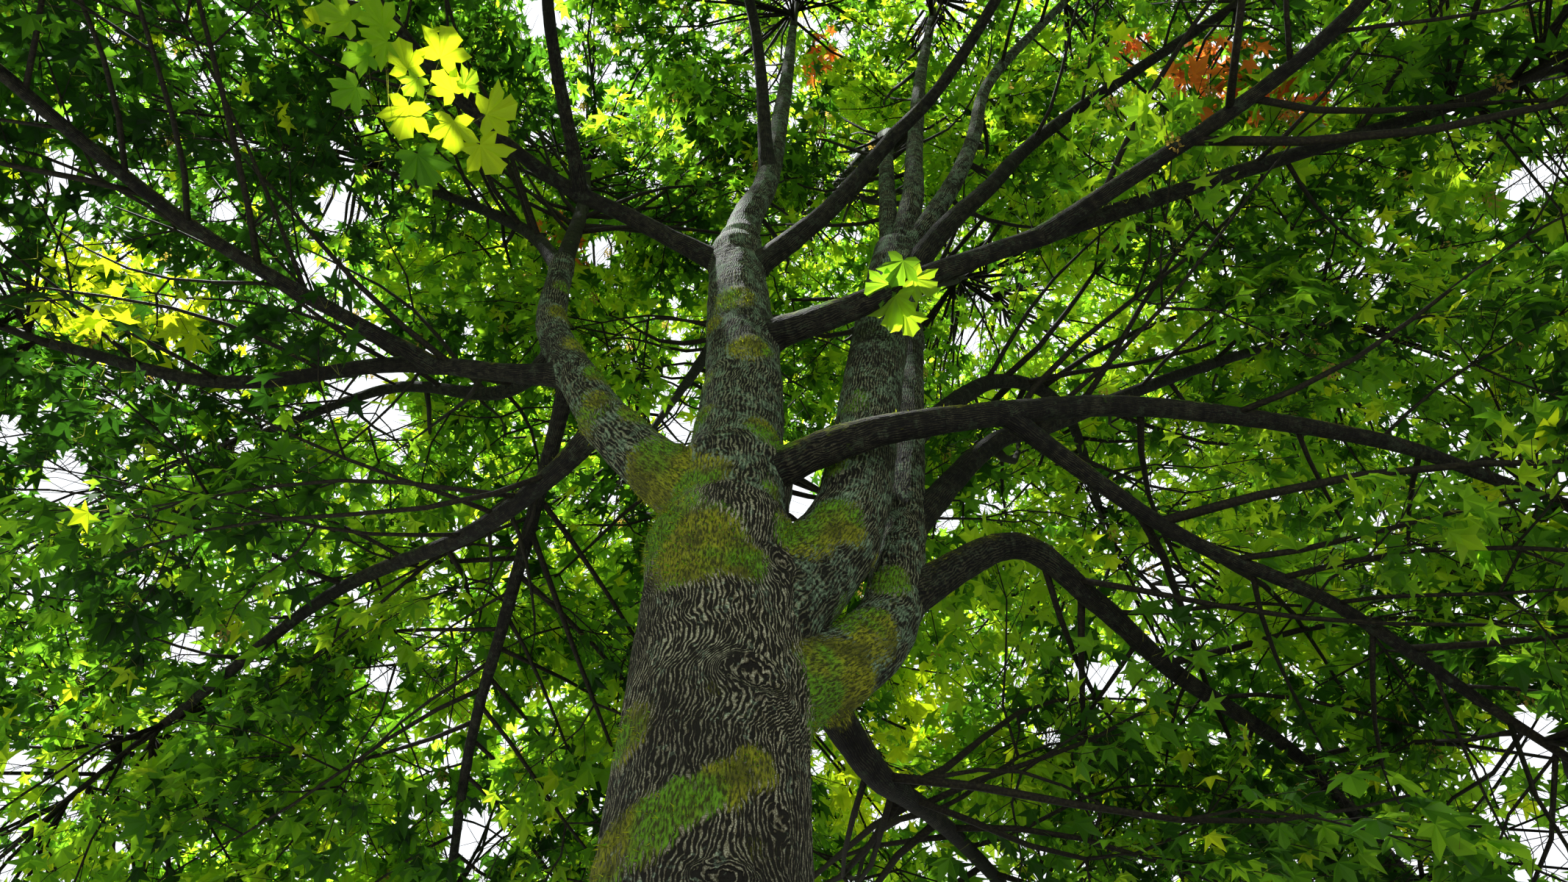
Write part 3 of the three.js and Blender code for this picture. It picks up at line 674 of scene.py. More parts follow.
def rough_skin(limb, place, grain, girth):
    """The heights that roughen a limb: swellings as wide as the limb, flutes along it, and long plates
    whose borders are where noise crosses zero."""
    swell = ROUGH["swell"] * girth * layered(place / (1.3 * girth.mean()), 11)
    flute = ROUGH["flute"] * girth * noise(grain * (3.2, 3.2, 0.5) * (0.4 / girth.mean()), 12)
    drift = 0.05 * np.stack([noise(grain * 4, 20 + i) for i in range(3)], -1)
    plates = 0.5 - np.abs(noise((grain + drift) * (17, 17, 4.2), 13))
    slivers = 0.5 - np.abs(noise((grain + drift) * (40, 40, 9), 14))
    stout = np.clip(girth / 0.3, 0.12, 1)
    return swell + flute + stout * (ROUGH["plates"] * plates + ROUGH["slivers"] * slivers)


print(len(SCARS), "healed scars")

# %% [markdown]
# One skin for each limb
#
# A Displace modifier could lay the heights on a plain tube, but it can't tell where other limbs join it.
# So they are added to the radius before the mesh is made. Its rings are finer near the limb's start, and
# the trunk's top is rounded off inside the stems that grow over it. Every skin keeps two maps on its
# points: its grain, which is the place on the limb as if it were straight, and its moss. A third one, on
# the corners of its faces, counts the bark's lines round the limb.

# %% Limb skins
RINGS = {"trunk": (300, 256), "stem": (150, 108), "thick": (120, 36), "thin": (90, 24)}
PALE_TOPS = ("centre_top", "right_top", "right_inner_top", "right_outer_top")
LINES_APART = {"trunk": 0.030, "stem": 0.024, "thick": 0.013, "thin": 0.010}
THICK_FROM = 0.09
RING_POWER = 1.2
ROUND_TOP = {"from": 0.93, "over": 0.072}
TIP_FADE = 30


def kind_of(limb):
    """Which of the four kinds a limb is, by what it grows on, what it carries and its radius."""
    if limb.on is None:
        return "trunk"
    if not limb.leafy:
        return "stem"
    return "thick" if limb.thick >= THICK_FROM else "thin"


def keep_maps(piece, grain, moss):
    """Writes the grain and the moss onto a piece's points, where the bark's material reads them."""
    maps = (("grain", "FLOAT_VECTOR", "vector", grain), ("moss", "FLOAT", "value", moss))
    for name, kind, field, values in maps:
        layer = piece.data.attributes.new(name, kind, "POINT")
        layer.data.foreach_set(field, np.asarray(values, np.float32).ravel())


def keep_lines(piece, count, length):
    """Writes the count of lines and the length onto the corners of a piece's faces, so that the last
    column of faces can end on the full count, where the first begins on none."""
    rings, columns = count.shape
    spots = np.stack([count, np.repeat(length[:, None], columns, 1), 0 * count], -1).reshape(-1, 3)
    i, j = np.meshgrid(np.arange(rings - 1), np.arange(columns - 1), indexing="ij")
    here = i * columns + j
    corners = np.stack([here, here + 1, here + columns + 1, here + columns], -1)
    values = np.zeros((len(piece.data.loops), 3), np.float32)
    values[: corners.size] = spots[corners.ravel()]
    layer = piece.data.attributes.new("lines", "FLOAT_VECTOR", "CORNER")
    layer.data.foreach_set("vector", values.ravel())


def dressed(piece, node):
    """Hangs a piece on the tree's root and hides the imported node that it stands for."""
    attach(piece, "root")
    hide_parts(node)


def limb_skin(limb):
    """A limb's mesh: each ring's corner is the middle plus the radius times a turned square direction,
    pushed out by the flare, the flow into joined limbs, the roughness, the scars and the moss."""
    kind = kind_of(limb)
    rings, columns = RINGS[kind]
    trunk = kind == "trunk"
    shares = np.linspace(0, 1, rings) ** (1.0 if trunk else RING_POWER)
    first = UP if trunk else ways_at(limb.points, 0.0)[0]
    middle, along, side, across = frames_along(limb.points, shares, first)
    length = np.concatenate([[0], np.cumsum(np.linalg.norm(np.diff(middle, axis=0), axis=1))])
    angle = 2 * np.pi * np.arange(columns) / columns
    cos, sin = np.cos(angle)[None, :, None], np.sin(angle)[None, :, None]
    out = (side[:, None] * cos + across[:, None] * sin).reshape(-1, 3)
    around = (across[:, None] * cos - side[:, None] * sin).reshape(-1, 3)
    girth = np.repeat(limb.radius(shares)[:, None], columns, 1)
    radius = girth.copy()
    if trunk:
        fade = np.exp(-shares[:, None] * limb.tip[2] / FLARE["height"])
        radius += FLARE["spread"] * fade * (0.7 + 0.3 * np.cos(FLARE["ridges"] * angle))
        rounded = np.clip((shares[:, None] - ROUND_TOP["from"]) / ROUND_TOP["over"], 0, 1)
        radius *= np.sqrt(1 - rounded**2)
    round_length = np.repeat(length[:, None], columns, 1)
    grain = np.stack([girth * np.cos(angle), girth * np.sin(angle), round_length], -1).reshape(-1, 3)
    place = np.repeat(middle, columns, 0) + out * radius.reshape(-1, 1)
    along, girth = np.repeat(along, columns, 0), girth.ravel()
    moss = moss_at(place, out, np.sqrt(1 - along[:, 2] ** 2))

    height = flow_into(limb, place) + rough_skin(limb, place, grain, girth)
    height += scar_height(limb, place, along, around)
    height += moss * (CUSHION * np.clip(girth / 0.2, 0.3, 1)) * (1 + 0.8 * noise(place * 24, 41))
    fade = 1 if trunk else np.repeat(np.clip((1 - shares) * TIP_FADE, 0, 1), columns)
    skin = place + out * (height * fade)[:, None]
    if trunk:
        skin[:columns, 2] = 0
    caps = [np.arange(columns)[::-1][None], (rings - 1) * columns + np.arange(columns)[None]]
    pale = not limb.leafy or limb.name in PALE_TOPS
    paint = TRUNK_BARK if trunk else STEM_BARK if pale else BOUGH_BARK
    piece = mesh_piece(limb.name + "_bark", skin, [grid_quads(rings, columns), *caps], materials=[paint])
    keep_maps(piece, grain, moss)

    total = 3 * max(2, round(2 * math.pi * limb.radius(0.5) / LINES_APART[kind] / 3))
    turn = np.linspace(0, total, columns + 1)[None]
    moved = lines_moved(limb, place, along, around) * total / (2 * np.pi * girth)
    moved = moved.reshape(rings, columns)
    keep_lines(piece, turn + np.concatenate([moved, moved[:, :1]], 1), length)
    dressed(piece, limb.name)
    return piece


skins = [limb_skin(limb) for limb in LIMBS.values()]
print(len(skins), "skins of", sum(map(triangles_in, skins)), "triangles")
print("made in", so_far())

# %% [markdown]
# The leafy shell of the crown
#
# A maple keeps its leaves on the outside of its crown, where the light is, and the inside is open wood.
# Leaves could be scattered over a big shell, but then no twig would hold them. So this is the CAD's
# rule: each bough's tip has its own share of the shell, and what grows from that tip stays in it.

# %% Crown and shares
CROWN = {"centre": np.array([0.4, 0, 10.3]), "wide": 8.8, "above": 9.9, "below": 8.2, "fullness": 2.5}
HOLLOW = 0.5
OPENING = {"x": 0.25, "half": 2.3, "front": -0.1, "eye": 1.6, "reach": 4.5, "slope": 3.3}
MASS_AHEAD = 1.9
STEM_REACH = 3.3
STEPS = 17
TRIES = 8
SIDES = 5
OVERLAP = 0.9


def outward(place):
    """Which way is out of the crown at each place: away from its centre."""
    return unit(place - CROWN["centre"])


def depth_in_crown(place):
    """How far out in the crown each place is, 0 at its centre and 1 on its surface: the sum of its
    shares of the crown's reach along each axis, each to the power of the fullness, then its root."""
    away = place - CROWN["centre"]
    tall = np.where(away[..., 2] > 0, CROWN["above"], CROWN["below"])
    shares = np.abs(away) / np.stack([np.full_like(tall, CROWN["wide"])] * 2 + [tall], -1)
    return np.sum(shares ** CROWN["fullness"], axis=-1) ** (1 / CROWN["fullness"])


def in_opening(place):
    """Whether each place is in the opening that the viewer looks up through."""
    x, y, z = np.moveaxis(place, -1, 0)
    ahead = (np.abs(x - OPENING["x"]) <= OPENING["half"]) & (y <= OPENING["front"])
    return ahead & (z < OPENING["eye"] + OPENING["slope"] * (y + OPENING["reach"]))


TIPS = np.array([limb.points[-1] for limb in leafy_limbs])
TIP_WAYS = np.array([ways_at(limb.points, 1.0)[0] for limb in leafy_limbs])
SEEDS = np.array([number + 100 * limb.seed for number, limb in enumerate(leafy_limbs)])
AHEAD = unit(0.5 * TIP_WAYS + outward(TIPS))
MIDDLES = TIPS + MASS_AHEAD * AHEAD


def in_share(place, owner, margin):
    """Whether each place is in the shell, out of the opening, and nearer to its owner's middle than to
    any other's: the difference of the squared distances over twice the distance of the middles."""
    squares = np.sum((place[..., None, :] - MIDDLES) ** 2, axis=-1)
    own = np.take_along_axis(squares, np.broadcast_to(owner[..., None], squares.shape)[..., :1], -1)
    apart = np.linalg.norm(MIDDLES[owner][..., None, :] - MIDDLES, axis=-1)
    lead = (squares - own) / np.maximum(2 * apart, 1e-9)
    clear = np.all((lead > margin) | (apart < 1e-9), axis=-1)
    depth = depth_in_crown(place)
    return clear & (depth <= 1) & (depth >= HOLLOW) & ~in_opening(place)


print("middles of the masses from", MIDDLES.min(0).round(1), "to", MIDDLES.max(0).round(1))

# %% [markdown]
# Sprays of the masses
#
# Inside each mass one stem runs on from the bough's tip. Sprays leave it in turn round it, as side twigs
# do. The CAD tries eight places for each spray, and keeps the first that fits as one stiff blade. Real
# twigs pass over each other, so here every try is taken that is clear of the wood and crosses the border
# of its share by less than a metre. Roots, ways and faces come from the same draws as the CAD's blades.

# %% Sprays from the stems
STALKS = np.array([2.0, 0.65, 1.4])
BLADE = 1.55
TIP_GAP = 0.00035


def stem_points(number):
    """The three points of the stem in a mass: the tip, a point along the bough's line, and the end,
    which is drawn back until it is inside the crown."""
    start = TIPS[number] + TIP_WAYS[number] * TIP_GAP
    end = TIPS[number] + STEM_REACH * AHEAD[number]
    reach = 1.0
    while depth_in_crown(start + (end - start) * reach) > 0.95:
        reach -= 0.05
    end = start + (end - start) * reach
    return np.array([start, start + TIP_WAYS[number] * 0.45 * np.linalg.norm(end - start), end])


def stem_frames(number):
    """The middles and square directions of a stem's rings, turned by the mass's own chance."""
    shares = np.linspace(0, 1, STEPS + 1)
    return frames_along(stem_points(number), shares, TIP_WAYS[number], 2 * math.pi * chance(SEEDS[number]))


def as_sprays(number, key, root, way, face, stalk, blade):
    """Sprays of one mass as named arrays with a row for each: where it leaves its stem, its way and its
    face, which is made square to the way, the lengths of its stalk and blade, its owner and its key."""
    owner = np.full(len(key), number)
    return {"root": root, "way": way, "face": square_to(way, face), "stalk": stalk, "blade": blade,
            "owner": owner, "key": key}


def stem_radii(number):
    """A stem's radius at each ring: from 0.95 down to 0.4 of its bough's tip."""
    return leafy_limbs[number].thin * (0.95 - 0.55 * np.arange(STEPS + 1) / STEPS)


def mass_sprays(number):
    """All 17 times 8 sprays that a mass could grow. Each one's way is its stem's direction leaned over
    sideways, and its face is turned out of the crown and up, less its part along the way."""
    k, nth = (a.ravel() for a in np.meshgrid(np.arange(STEPS), np.arange(TRIES), indexing="ij"))
    middle, along, side, across = stem_frames(number)
    radius = stem_radii(number)

    def corner(step, j):
        """Corner j of the ring at each step."""
        angle = (2 * np.pi * (j % SIDES) / SIDES)[:, None]
        return middle[step] + radius[step, None] * (side[step] * np.cos(angle) + across[step] * np.sin(angle))

    lucks = {key: luck(SEEDS[number], k, nth, key)[:, None] for key in range(1, 8)}
    root = (corner(k, 2 * k) + corner(k + 1, 2 * k + 1) + corner(k, 2 * k + 1)) / 3
    turn = 2 * np.pi * ((2 * k) % SIDES + 0.5)[:, None] / SIDES + 0.9 * lucks[1]
    lean = 1.3 - 0.6 * k[:, None] / STEPS + 0.5 * lucks[2]
    way = along[k] * np.cos(lean) + np.sin(lean) * (side[k] * np.cos(turn) + across[k] * np.sin(turn))
    face = outward(root) * 0.8 + UP * 0.7 + 0.7 * np.concatenate([lucks[3], lucks[4], lucks[5]], 1)
    stalk = STALKS[k % 3] * (1 - 0.6 * nth / TRIES) * (1 + 0.3 * lucks[6][:, 0])
    blade = BLADE * (1 + 0.3 * lucks[7][:, 0])
    return as_sprays(number, SEEDS[number] * 1000 + k * TRIES + nth, root, way, face, stalk, blade)


def placed(sprays, local):
    """Local points of each spray, x to the side, y along it and z to its face, put in their places."""
    x, y, z = (local[..., i : i + 1] for i in range(3))
    aside = np.cross(sprays["way"], sprays["face"])[:, None]
    return sprays["root"][:, None] + x * aside + y * sprays["way"][:, None] + z * sprays["face"][:, None]


def chosen(sprays, keep):
    """The sprays for which keep is true."""
    return {key: values[keep] for key, values in sprays.items()}


def joined(lots):
    """Several lots of sprays as one."""
    return {key: np.concatenate([lot[key] for lot in lots]) for key in lots[0]}


def on_blade(sprays, share=0.5):
    """The place on each spray at a share of its blade's length."""
    return sprays["root"] + sprays["way"] * (sprays["stalk"] + share * sprays["blade"])[:, None]


def clear_of_wood(place, least):
    """Whether each place is further than `least` from every limb."""
    flat = place.reshape(-1, 3)
    clear = np.ones(len(flat), bool)
    for limb in LIMBS.values():
        low, high = limb.points.min(0) - limb.thick - 0.5, limb.points.max(0) + limb.thick + 0.5
        near = np.flatnonzero(np.all((flat > low) & (flat < high), axis=1))
        clear[near] &= distance_to(limb, flat[near]) > least
    return clear.reshape(place.shape[:-1])


def spray_outline(sprays):
    """Eight places on each spray: two on its stalk, its widest and its waist left and right, its ridge
    and its tip."""
    stalk, blade = sprays["stalk"][:, None], sprays["blade"][:, None]
    table = np.array([
        # across, stalks along, blades along, blades down
        (0, 0.25, 0, 0), (0, 1, 0, 0), (-0.5, 1, 0.42, 0.02), (0.5, 1, 0.42, 0.02),
        (0, 1, 0.26, 0.02), (-0.19, 1, 0.54, 0.05), (0.19, 1, 0.54, 0.05), (0, 1, 1, 0.2),
    ])
    across, stalks, blades, down = table.T
    local = np.stack([across * blade, stalks * stalk + blades * blade, -down * blade], -1)
    return placed(sprays, local)


SPRAYS = joined([mass_sprays(number) for number in range(len(leafy_limbs))])
outline = spray_outline(SPRAYS)
fits = in_share(outline, np.repeat(SPRAYS["owner"][:, None], 8, 1), -OVERLAP).all(1)
SPRAYS, outline = chosen(SPRAYS, fits), outline[fits]
SPRAYS = chosen(SPRAYS, clear_of_wood(outline, 0.03).all(1))
print(len(SPRAYS["root"]), "of", len(fits), "sprays fit;", so_far())

# %% [markdown]
# Side branches of the boughs
#
# The photograph is full of thin dark branches that leave the boughs sideways and cross each other. They
# carry sprays of their own, which close the crown behind the stems. A particle system could strew them
# over the boughs, but they would point anywhere. So each bough gets a row of them, left and right in
# turn, drawn in the same way as the sprays. Those are kept that stay out of the opening.

# %% Side branches
BRANCHLETS = 12
MORE_BRANCHLETS = {
    "centre_top": 34, "right_top": 24, "centre_front_top": 28, "right_inner_top": 20,
    "back_left_bough": 22, "back_bough": 22, "low_back_bough": 20, "right_back_bough": 18,
    "back_high_bough": 18, "left_low_bough": 16, "left_top": 20, "left_back_top": 30,
    "front_left_bough": 18,
}
STEM_BRANCHLETS = 9
BRANCHLET_STEPS = 7
LONGEST = {"right": 3.5, "elsewhere": 2.6}
INNER_DEPTH = 0.22
SIDE_SPRAYS = np.array([
    # place along the branch and turn from its way
    (0.5, 0.9), (0.55, -0.9), (0.78, 0.8), (0.82, -0.8), (1.0, 0.0),
])
SIDE_STALK, SIDE_BLADE = 0.30, 1.0


def branchlet_paths(number, points, count, first, longest):
    """The middle lines of side branches along a curve, and the ones to keep. Each starts on the curve,
    leans about 50 degrees out of it to one side, and rises and sways a little on its way."""
    k = np.arange(count) + first
    shares = 0.22 + 0.74 * (k - first + 0.5 + 0.7 * luck(SEEDS[number], 40, k)) / count
    start, along = curve_at(points, shares), ways_at(points, shares)
    level = unit(np.cross(along, UP)) * np.where(k % 2, 1, -1)[:, None]
    level = unit(level + UP * (0.15 + 0.9 * luck(SEEDS[number], 41, k))[:, None])
    lean = (0.85 + 0.5 * luck(SEEDS[number], 42, k))[:, None]
    way = along * np.cos(lean) + level * np.sin(lean)
    length = longest * (1 - 0.46 * shares) * (1 + 0.7 * luck(SEEDS[number], 43, k))
    t = np.linspace(0, 1, BRANCHLET_STEPS)[None, :, None]
    phase = 6 * chance(SEEDS[number], 44, k)[:, None, None]
    wave = np.sin(5 * t + phase) - np.sin(phase)
    bend = np.cross(way, level)[:, None] * wave * 0.08 + UP * 0.14 * t**2 + along[:, None] * 0.25 * t**2
    paths = start[:, None] + length[:, None, None] * (way[:, None] * t + bend)
    clear = ~in_opening(paths).any(1) & (depth_in_crown(paths) < 0.98).all(1)
    clear &= clear_of_wood(paths[:, 3:], 0.03).all(1)
    return paths, clear


def branchlet_sprays(number, paths, kept):
    """Sprays on the side branches: two pairs of side ones and one that runs on from the tip."""
    slots = np.arange(len(SIDE_SPRAYS))
    k, slot = (a.ravel() for a in np.meshgrid(np.flatnonzero(kept), slots, indexing="ij"))
    step = np.rint(SIDE_SPRAYS[slot, 0] * (BRANCHLET_STEPS - 1)).astype(int)
    root = paths[k, step]
    along = unit(paths[k, step] - paths[k, step - 1])
    lucks = {key: luck(SEEDS[number], 50 + slot, k, key)[:, None] for key in range(1, 8)}
    face = outward(root) * 0.4 + UP + 0.8 * np.concatenate([lucks[3], lucks[4], lucks[5]], 1)
    turn = SIDE_SPRAYS[slot, 1][:, None] + 0.5 * lucks[1]
    way = unit(along * np.cos(turn) + unit(np.cross(along, face)) * np.sin(turn))
    stalk = SIDE_STALK * (1 + lucks[6][:, 0])
    blade = SIDE_BLADE * (1 + 0.5 * lucks[7][:, 0])
    return as_sprays(number, SEEDS[number] * 1000 + 500 + k * 5 + slot, root, way, face, stalk, blade)


BRANCH_PATHS, side_tried = [], []
for number, limb in enumerate(leafy_limbs):
    longest = LONGEST["right" if limb.tip[0] > 2 else "elsewhere"]
    on_bough = branchlet_paths(number, limb.points, MORE_BRANCHLETS.get(limb.name, BRANCHLETS), 0, longest)
    on_stem = branchlet_paths(number, stem_points(number), STEM_BRANCHLETS, 30, longest)
    paths, kept = (np.concatenate(pair) for pair in zip(on_bough, on_stem))
    BRANCH_PATHS.append(paths[kept])
    side_tried.append(branchlet_sprays(number, paths, kept))
side_tried = joined(side_tried)
outline = spray_outline(side_tried)[:, 1:]
depth = depth_in_crown(outline)
fits = ((depth > INNER_DEPTH) & (depth < 1) & ~in_opening(outline)).all(1)
fits &= clear_of_wood(outline, 0.04).all(1)
side_kept = chosen(side_tried, fits)
print(sum(map(len, BRANCH_PATHS)), "side branches;", len(side_kept["key"]), "of", len(fits), "sprays fit")
SPRAYS = joined([SPRAYS, side_kept])

# %% [markdown]
# Thinning where sprays crowd
#
# A tree drops the twigs that its other twigs shade. The sprays could be thinned evenly, but then thin
# places become holes while thick ones stay black. So each spray's neighbours are counted as the viewer
# sees them, within 2.5 degrees and by how wide they look, and the more it has, the less likely it stays.
# White light shows through in about twenty places. They are listed as pixels of the photograph with a
# radius, and a spray or leaf is looked up by its direction from the viewer.

# %% Thinning
NEAR_ANGLE = math.radians(2.5)
ENOUGH = 0.102
LEAST_KEPT = 0.25

GAPS = [
    # x, y and radius in pixels
    (10, 590, 24), (80, 655, 30), (459, 283, 28), (523, 575, 24),
    (928, 592, 26), (1080, 690, 46), (1290, 706, 24), (1493, 928, 30), (1560, 790, 16), (640, 1140, 30),
    (736, 27, 22), (821, 341, 26), (2107, 1152, 32), (1147, 53, 16), (523, 928, 28), (2096, 1010, 30),
    (1317, 464, 18), (1430, 1010, 20), (2080, 250, 26), (250, 880, 26), (1000, 330, 14),
]


def view_share(place, x, y, radius):
    """How far each place is from a pixel's direction, as a share of the radius in pixels."""
    cosine = np.clip(unit(place - np.array(EYE)) @ toward(x, y), -1, 1)
    return np.arccos(cosine) * FOCAL_PIXELS / radius


def in_gap(place, key, number):
    """Whether each place is in one of the gaps, whose edges are ragged by luck."""
    ragged = 0.75 + 0.5 * chance(key, 211, number)
    return np.any([view_share(place, *gap) < ragged for gap in GAPS], axis=0)


def crowding(sprays):
    """How much of the view the sprays near each one fill: the sum, over those within the near angle, of
    their blade's length over their distance, squared."""
    middle = on_blade(sprays)
    way = unit(middle - EYE)
    fills = (sprays["blade"] / np.linalg.norm(middle - EYE, axis=1)) ** 2
    return (way @ way.T > math.cos(NEAR_ANGLE)) @ fills


crowded = crowding(SPRAYS)
print("crowding:", np.percentile(crowded, (5, 25, 50, 75, 95)).round(3))
stay = chance(SPRAYS["key"], 60) < np.clip(ENOUGH / crowded, LEAST_KEPT, 1)
stay &= ~in_gap(on_blade(SPRAYS), SPRAYS["key"], 0)
SPRAYS = chosen(SPRAYS, stay)
print(len(SPRAYS["root"]), "sprays in all;", so_far())

# %% [markdown]
# Twigs of a spray
#
# A spray is a flat fan of twigs: an axis, which hangs at its end, and four pairs of side twigs, longest
# near its base. Maple twigs always stand in pairs. Each could be a bevelled curve of its own, but there
# are over twenty thousand. So all the twigs of a kind are made at once: their paths are one big array,
# and one function lays rings along all of them.

# %% Twig paths
PAIRS = np.array([
    # place along the blade, length and lean from the axis, in blades and radians
    (-0.04, 0.43, 0.95), (0.18, 0.46, 0.88), (0.42, 0.36, 0.80), (0.66, 0.24, 0.70),
])
AXIS_STEPS = 5
TWIG_STEPS = 3
THINNEST = 0.002
STEM_END = 0.004
AXIS_STOUT = 0.0065
SIDE_STOUT = 0.0070
TWIG_RADII = (0.0042, 0.0032, 0.0018)


def spray_axis(sprays, along):
    """Places on the axes at distances along them. Past the stalk, the axis drops by a fifth of the
    blade's length times the square of the share, and the whole axis sways a little from side to side."""
    stalk, blade = sprays["stalk"][:, None], sprays["blade"][:, None]
    share = (along - stalk) / blade
    drop = np.where(share > 0, -0.2 * blade * share**2, 0)
    sway = 0.05 * blade * np.sin(along / blade * 5 + sprays["key"][:, None] % 7)
    sway = sway * np.clip(along / stalk, 0, 1)
    return np.stack([sway, along, drop + 0.4 * sway], -1)


def side_twigs(sprays):
    """The paths of the eight side twigs of each spray, in its own frame. Each leaves the axis at its lean,
    bends forward, and is longer or shorter and higher or lower by luck."""
    count = len(sprays["key"])
    key = sprays["key"][:, None, None]
    pair, hand = np.meshgrid(np.arange(len(PAIRS)), [-1, 1], indexing="ij")
    at = (PAIRS[pair, 0] + 0.05 * luck(key, pair, hand + 1, 1)) * sprays["blade"][:, None, None]
    at = (sprays["stalk"][:, None, None] + at).reshape(count, -1)
    start = spray_axis(sprays, np.maximum(at, 0.05))
    length = PAIRS[pair, 1] * sprays["blade"][:, None, None] * (1 + 0.5 * luck(key, pair, hand + 1, 2))
    lean = PAIRS[pair, 2] + 0.5 * luck(key, pair, hand + 1, 3)
    lift = 0.55 * luck(key, pair, hand + 1, 4)
    length, lean, lift = (a.reshape(count, -1)[..., None] for a in (length, lean, lift))
    hand = np.broadcast_to(hand, (count, *hand.shape)).reshape(count, -1)[..., None]
    share = np.linspace(0, 1, TWIG_STEPS)
    angle = lean * (1 - 0.35 * share)
    x = hand * length * share * np.sin(angle)
    y = length * share * np.cos(angle)
    z = length * share * lift - 0.12 * length * share**2
    return start[:, :, None] + np.stack([x, y, z], -1)


def tubes(paths, radii, side, corners):
    """Rings of corners round many paths at once: the path's point, plus its radius times a turn of two
    directions square to it. Gives back the corners and the polygons, which close both ends."""
    count, rings = paths.shape[:2]
    way = unit(np.gradient(paths, axis=1))
    side = square_to(way, side)
    across = np.cross(way, side)
    angle = 2 * np.pi * np.arange(corners) / corners
    square = side[:, :, None] * np.cos(angle)[:, None] + across[:, :, None] * np.sin(angle)[:, None]
    points = paths[:, :, None] + square * radii[..., None, None]
    first = (np.arange(count) * rings * corners)[:, None, None]
    quads = (grid_quads(rings, corners)[None] + first).reshape(-1, 4)
    foot = np.arange(corners)[::-1] + first[:, 0]
    top = (rings - 1) * corners + np.arange(corners) + first[:, 0]
    return points.reshape(-1, 3), [quads, foot, top]


def merged(parts):
    """Several lots of corners and polygons as one: each lot's polygons are moved on by the number of
    corners before it."""
    before = np.cumsum([0] + [len(points) for points, _ in parts[:-1]])
    polygons = [p + offset for (_, lots), offset in zip(parts, before) for p in lots]
    return np.concatenate([points for points, _ in parts]), polygons


def twig_piece(number):
    """The stem of a mass and all the twigs of its sprays, as one piece."""
    sprays = chosen(SPRAYS, SPRAYS["owner"] == number)
    middle, along, side, across = stem_frames(number)
    thin = stem_radii(number)
    thin[-1] = STEM_END
    parts = [tubes(middle[None], thin[None], side[None], 10)]
    length = sprays["stalk"] + sprays["blade"]
    share = np.linspace(0, 1, AXIS_STEPS)
    axis = placed(sprays, spray_axis(sprays, share * length[:, None]))
    stout = AXIS_STOUT * length[:, None] * (1 - 0.8 * share) + THINNEST
    parts.append(tubes(axis, stout, np.repeat(sprays["face"][:, None], AXIS_STEPS, 1), 4))
    local = side_twigs(sprays)
    count, twigs = local.shape[:2]
    paths = placed(sprays, local.reshape(count, -1, 3)).reshape(count * twigs, TWIG_STEPS, 3)
    face = np.repeat(sprays["face"], twigs, 0)[:, None].repeat(TWIG_STEPS, 1)
    parts.append(tubes(paths, np.tile(TWIG_RADII, (len(paths), 1)), face, 3))
    paths = BRANCH_PATHS[number]
    stout = SIDE_STOUT * np.linalg.norm(paths[:, -1] - paths[:, 0], axis=1)[:, None]
    stout = stout * (1 - 0.75 * np.linspace(0, 1, BRANCHLET_STEPS)) + THINNEST
    parts.append(tubes(paths, stout, np.broadcast_to(UP + (0.1, 0.2, 0), paths.shape), 6))
    points, polygons = merged(parts)
    name = leafy_limbs[number].name
    piece = mesh_piece(name + "_twigs", points, polygons, materials=[TWIG_BARK])
    dressed(piece, name + "_leaves")
    return piece


twig_pieces = [twig_piece(number) for number in range(len(leafy_limbs))]
print(sum(map(triangles_in, twig_pieces)), "triangles of twigs in", so_far())

# %% [markdown]
# Leaf tints
#
# Seen from below, most leaves are dark against the light, some glow where the sun strikes through them,
# and a few tufts have turned orange early. A see-through material could let the light in, but one would
# see other leaves behind it. A leaf spreads the light, so its material is one third soft gloss and two
# thirds Translucent. Each spray has a tint, and its leaves are lighter or darker by about one.

# %% Leaf finishes
# The first five tints are lit and shaded copies of one leaf green, from deep shade up to sunlight: partly
# real variation, and partly painted shade and painted light.
TINTS = {
    # the colour of the face, and of the light that comes through it
    "leaf in deep shade": ((0.007, 0.021, 0.004), (0.026, 0.092, 0.005)),
    "dark leaf": ((0.012, 0.038, 0.005), (0.066, 0.205, 0.008)),
    "green leaf": ((0.027, 0.078, 0.008), (0.180, 0.430, 0.015)),
    "lighter green leaf": ((0.052, 0.125, 0.010), (0.340, 0.640, 0.020)),
    "sunny leaf": ((0.105, 0.195, 0.012), (0.560, 0.820, 0.022)),
    "yellow leaf": ((0.230, 0.300, 0.014), (0.700, 0.860, 0.014)),
    "orange leaf": ((0.460, 0.120, 0.020), (0.900, 0.250, 0.030)),
    "rust leaf": ((0.300, 0.050, 0.015), (0.750, 0.120, 0.020)),
    "leaf stalk": ((0.130, 0.130, 0.030), (0.300, 0.330, 0.040)),
}
THROUGH = 0.68
STALK_TINT = len(TINTS) - 1
YELLOW, ORANGE, RUST = 5, 6, 7


def leaf_paint(name, face, through):
    """A leaf: a soft gloss on its face, mixed with Translucent for the light that comes through."""
    paint = Paint(name)
    values = {"Base Color": (*face, 1), "Roughness": 0.55, "Specular IOR Level": 0.2}
    gloss = paint.node("ShaderNodeBsdfPrincipled", {}, values)
    glow = paint.node("ShaderNodeBsdfTranslucent", {}, {"Color": (*through, 1)})
    return paint.finished(paint.node("ShaderNodeMixShader", {}, {0: THROUGH, 1: gloss, 2: glow}))


LEAF_PAINTS = [leaf_paint(name, *colours) for name, colours in TINTS.items()]
print(len(LEAF_PAINTS), "leaf finishes")

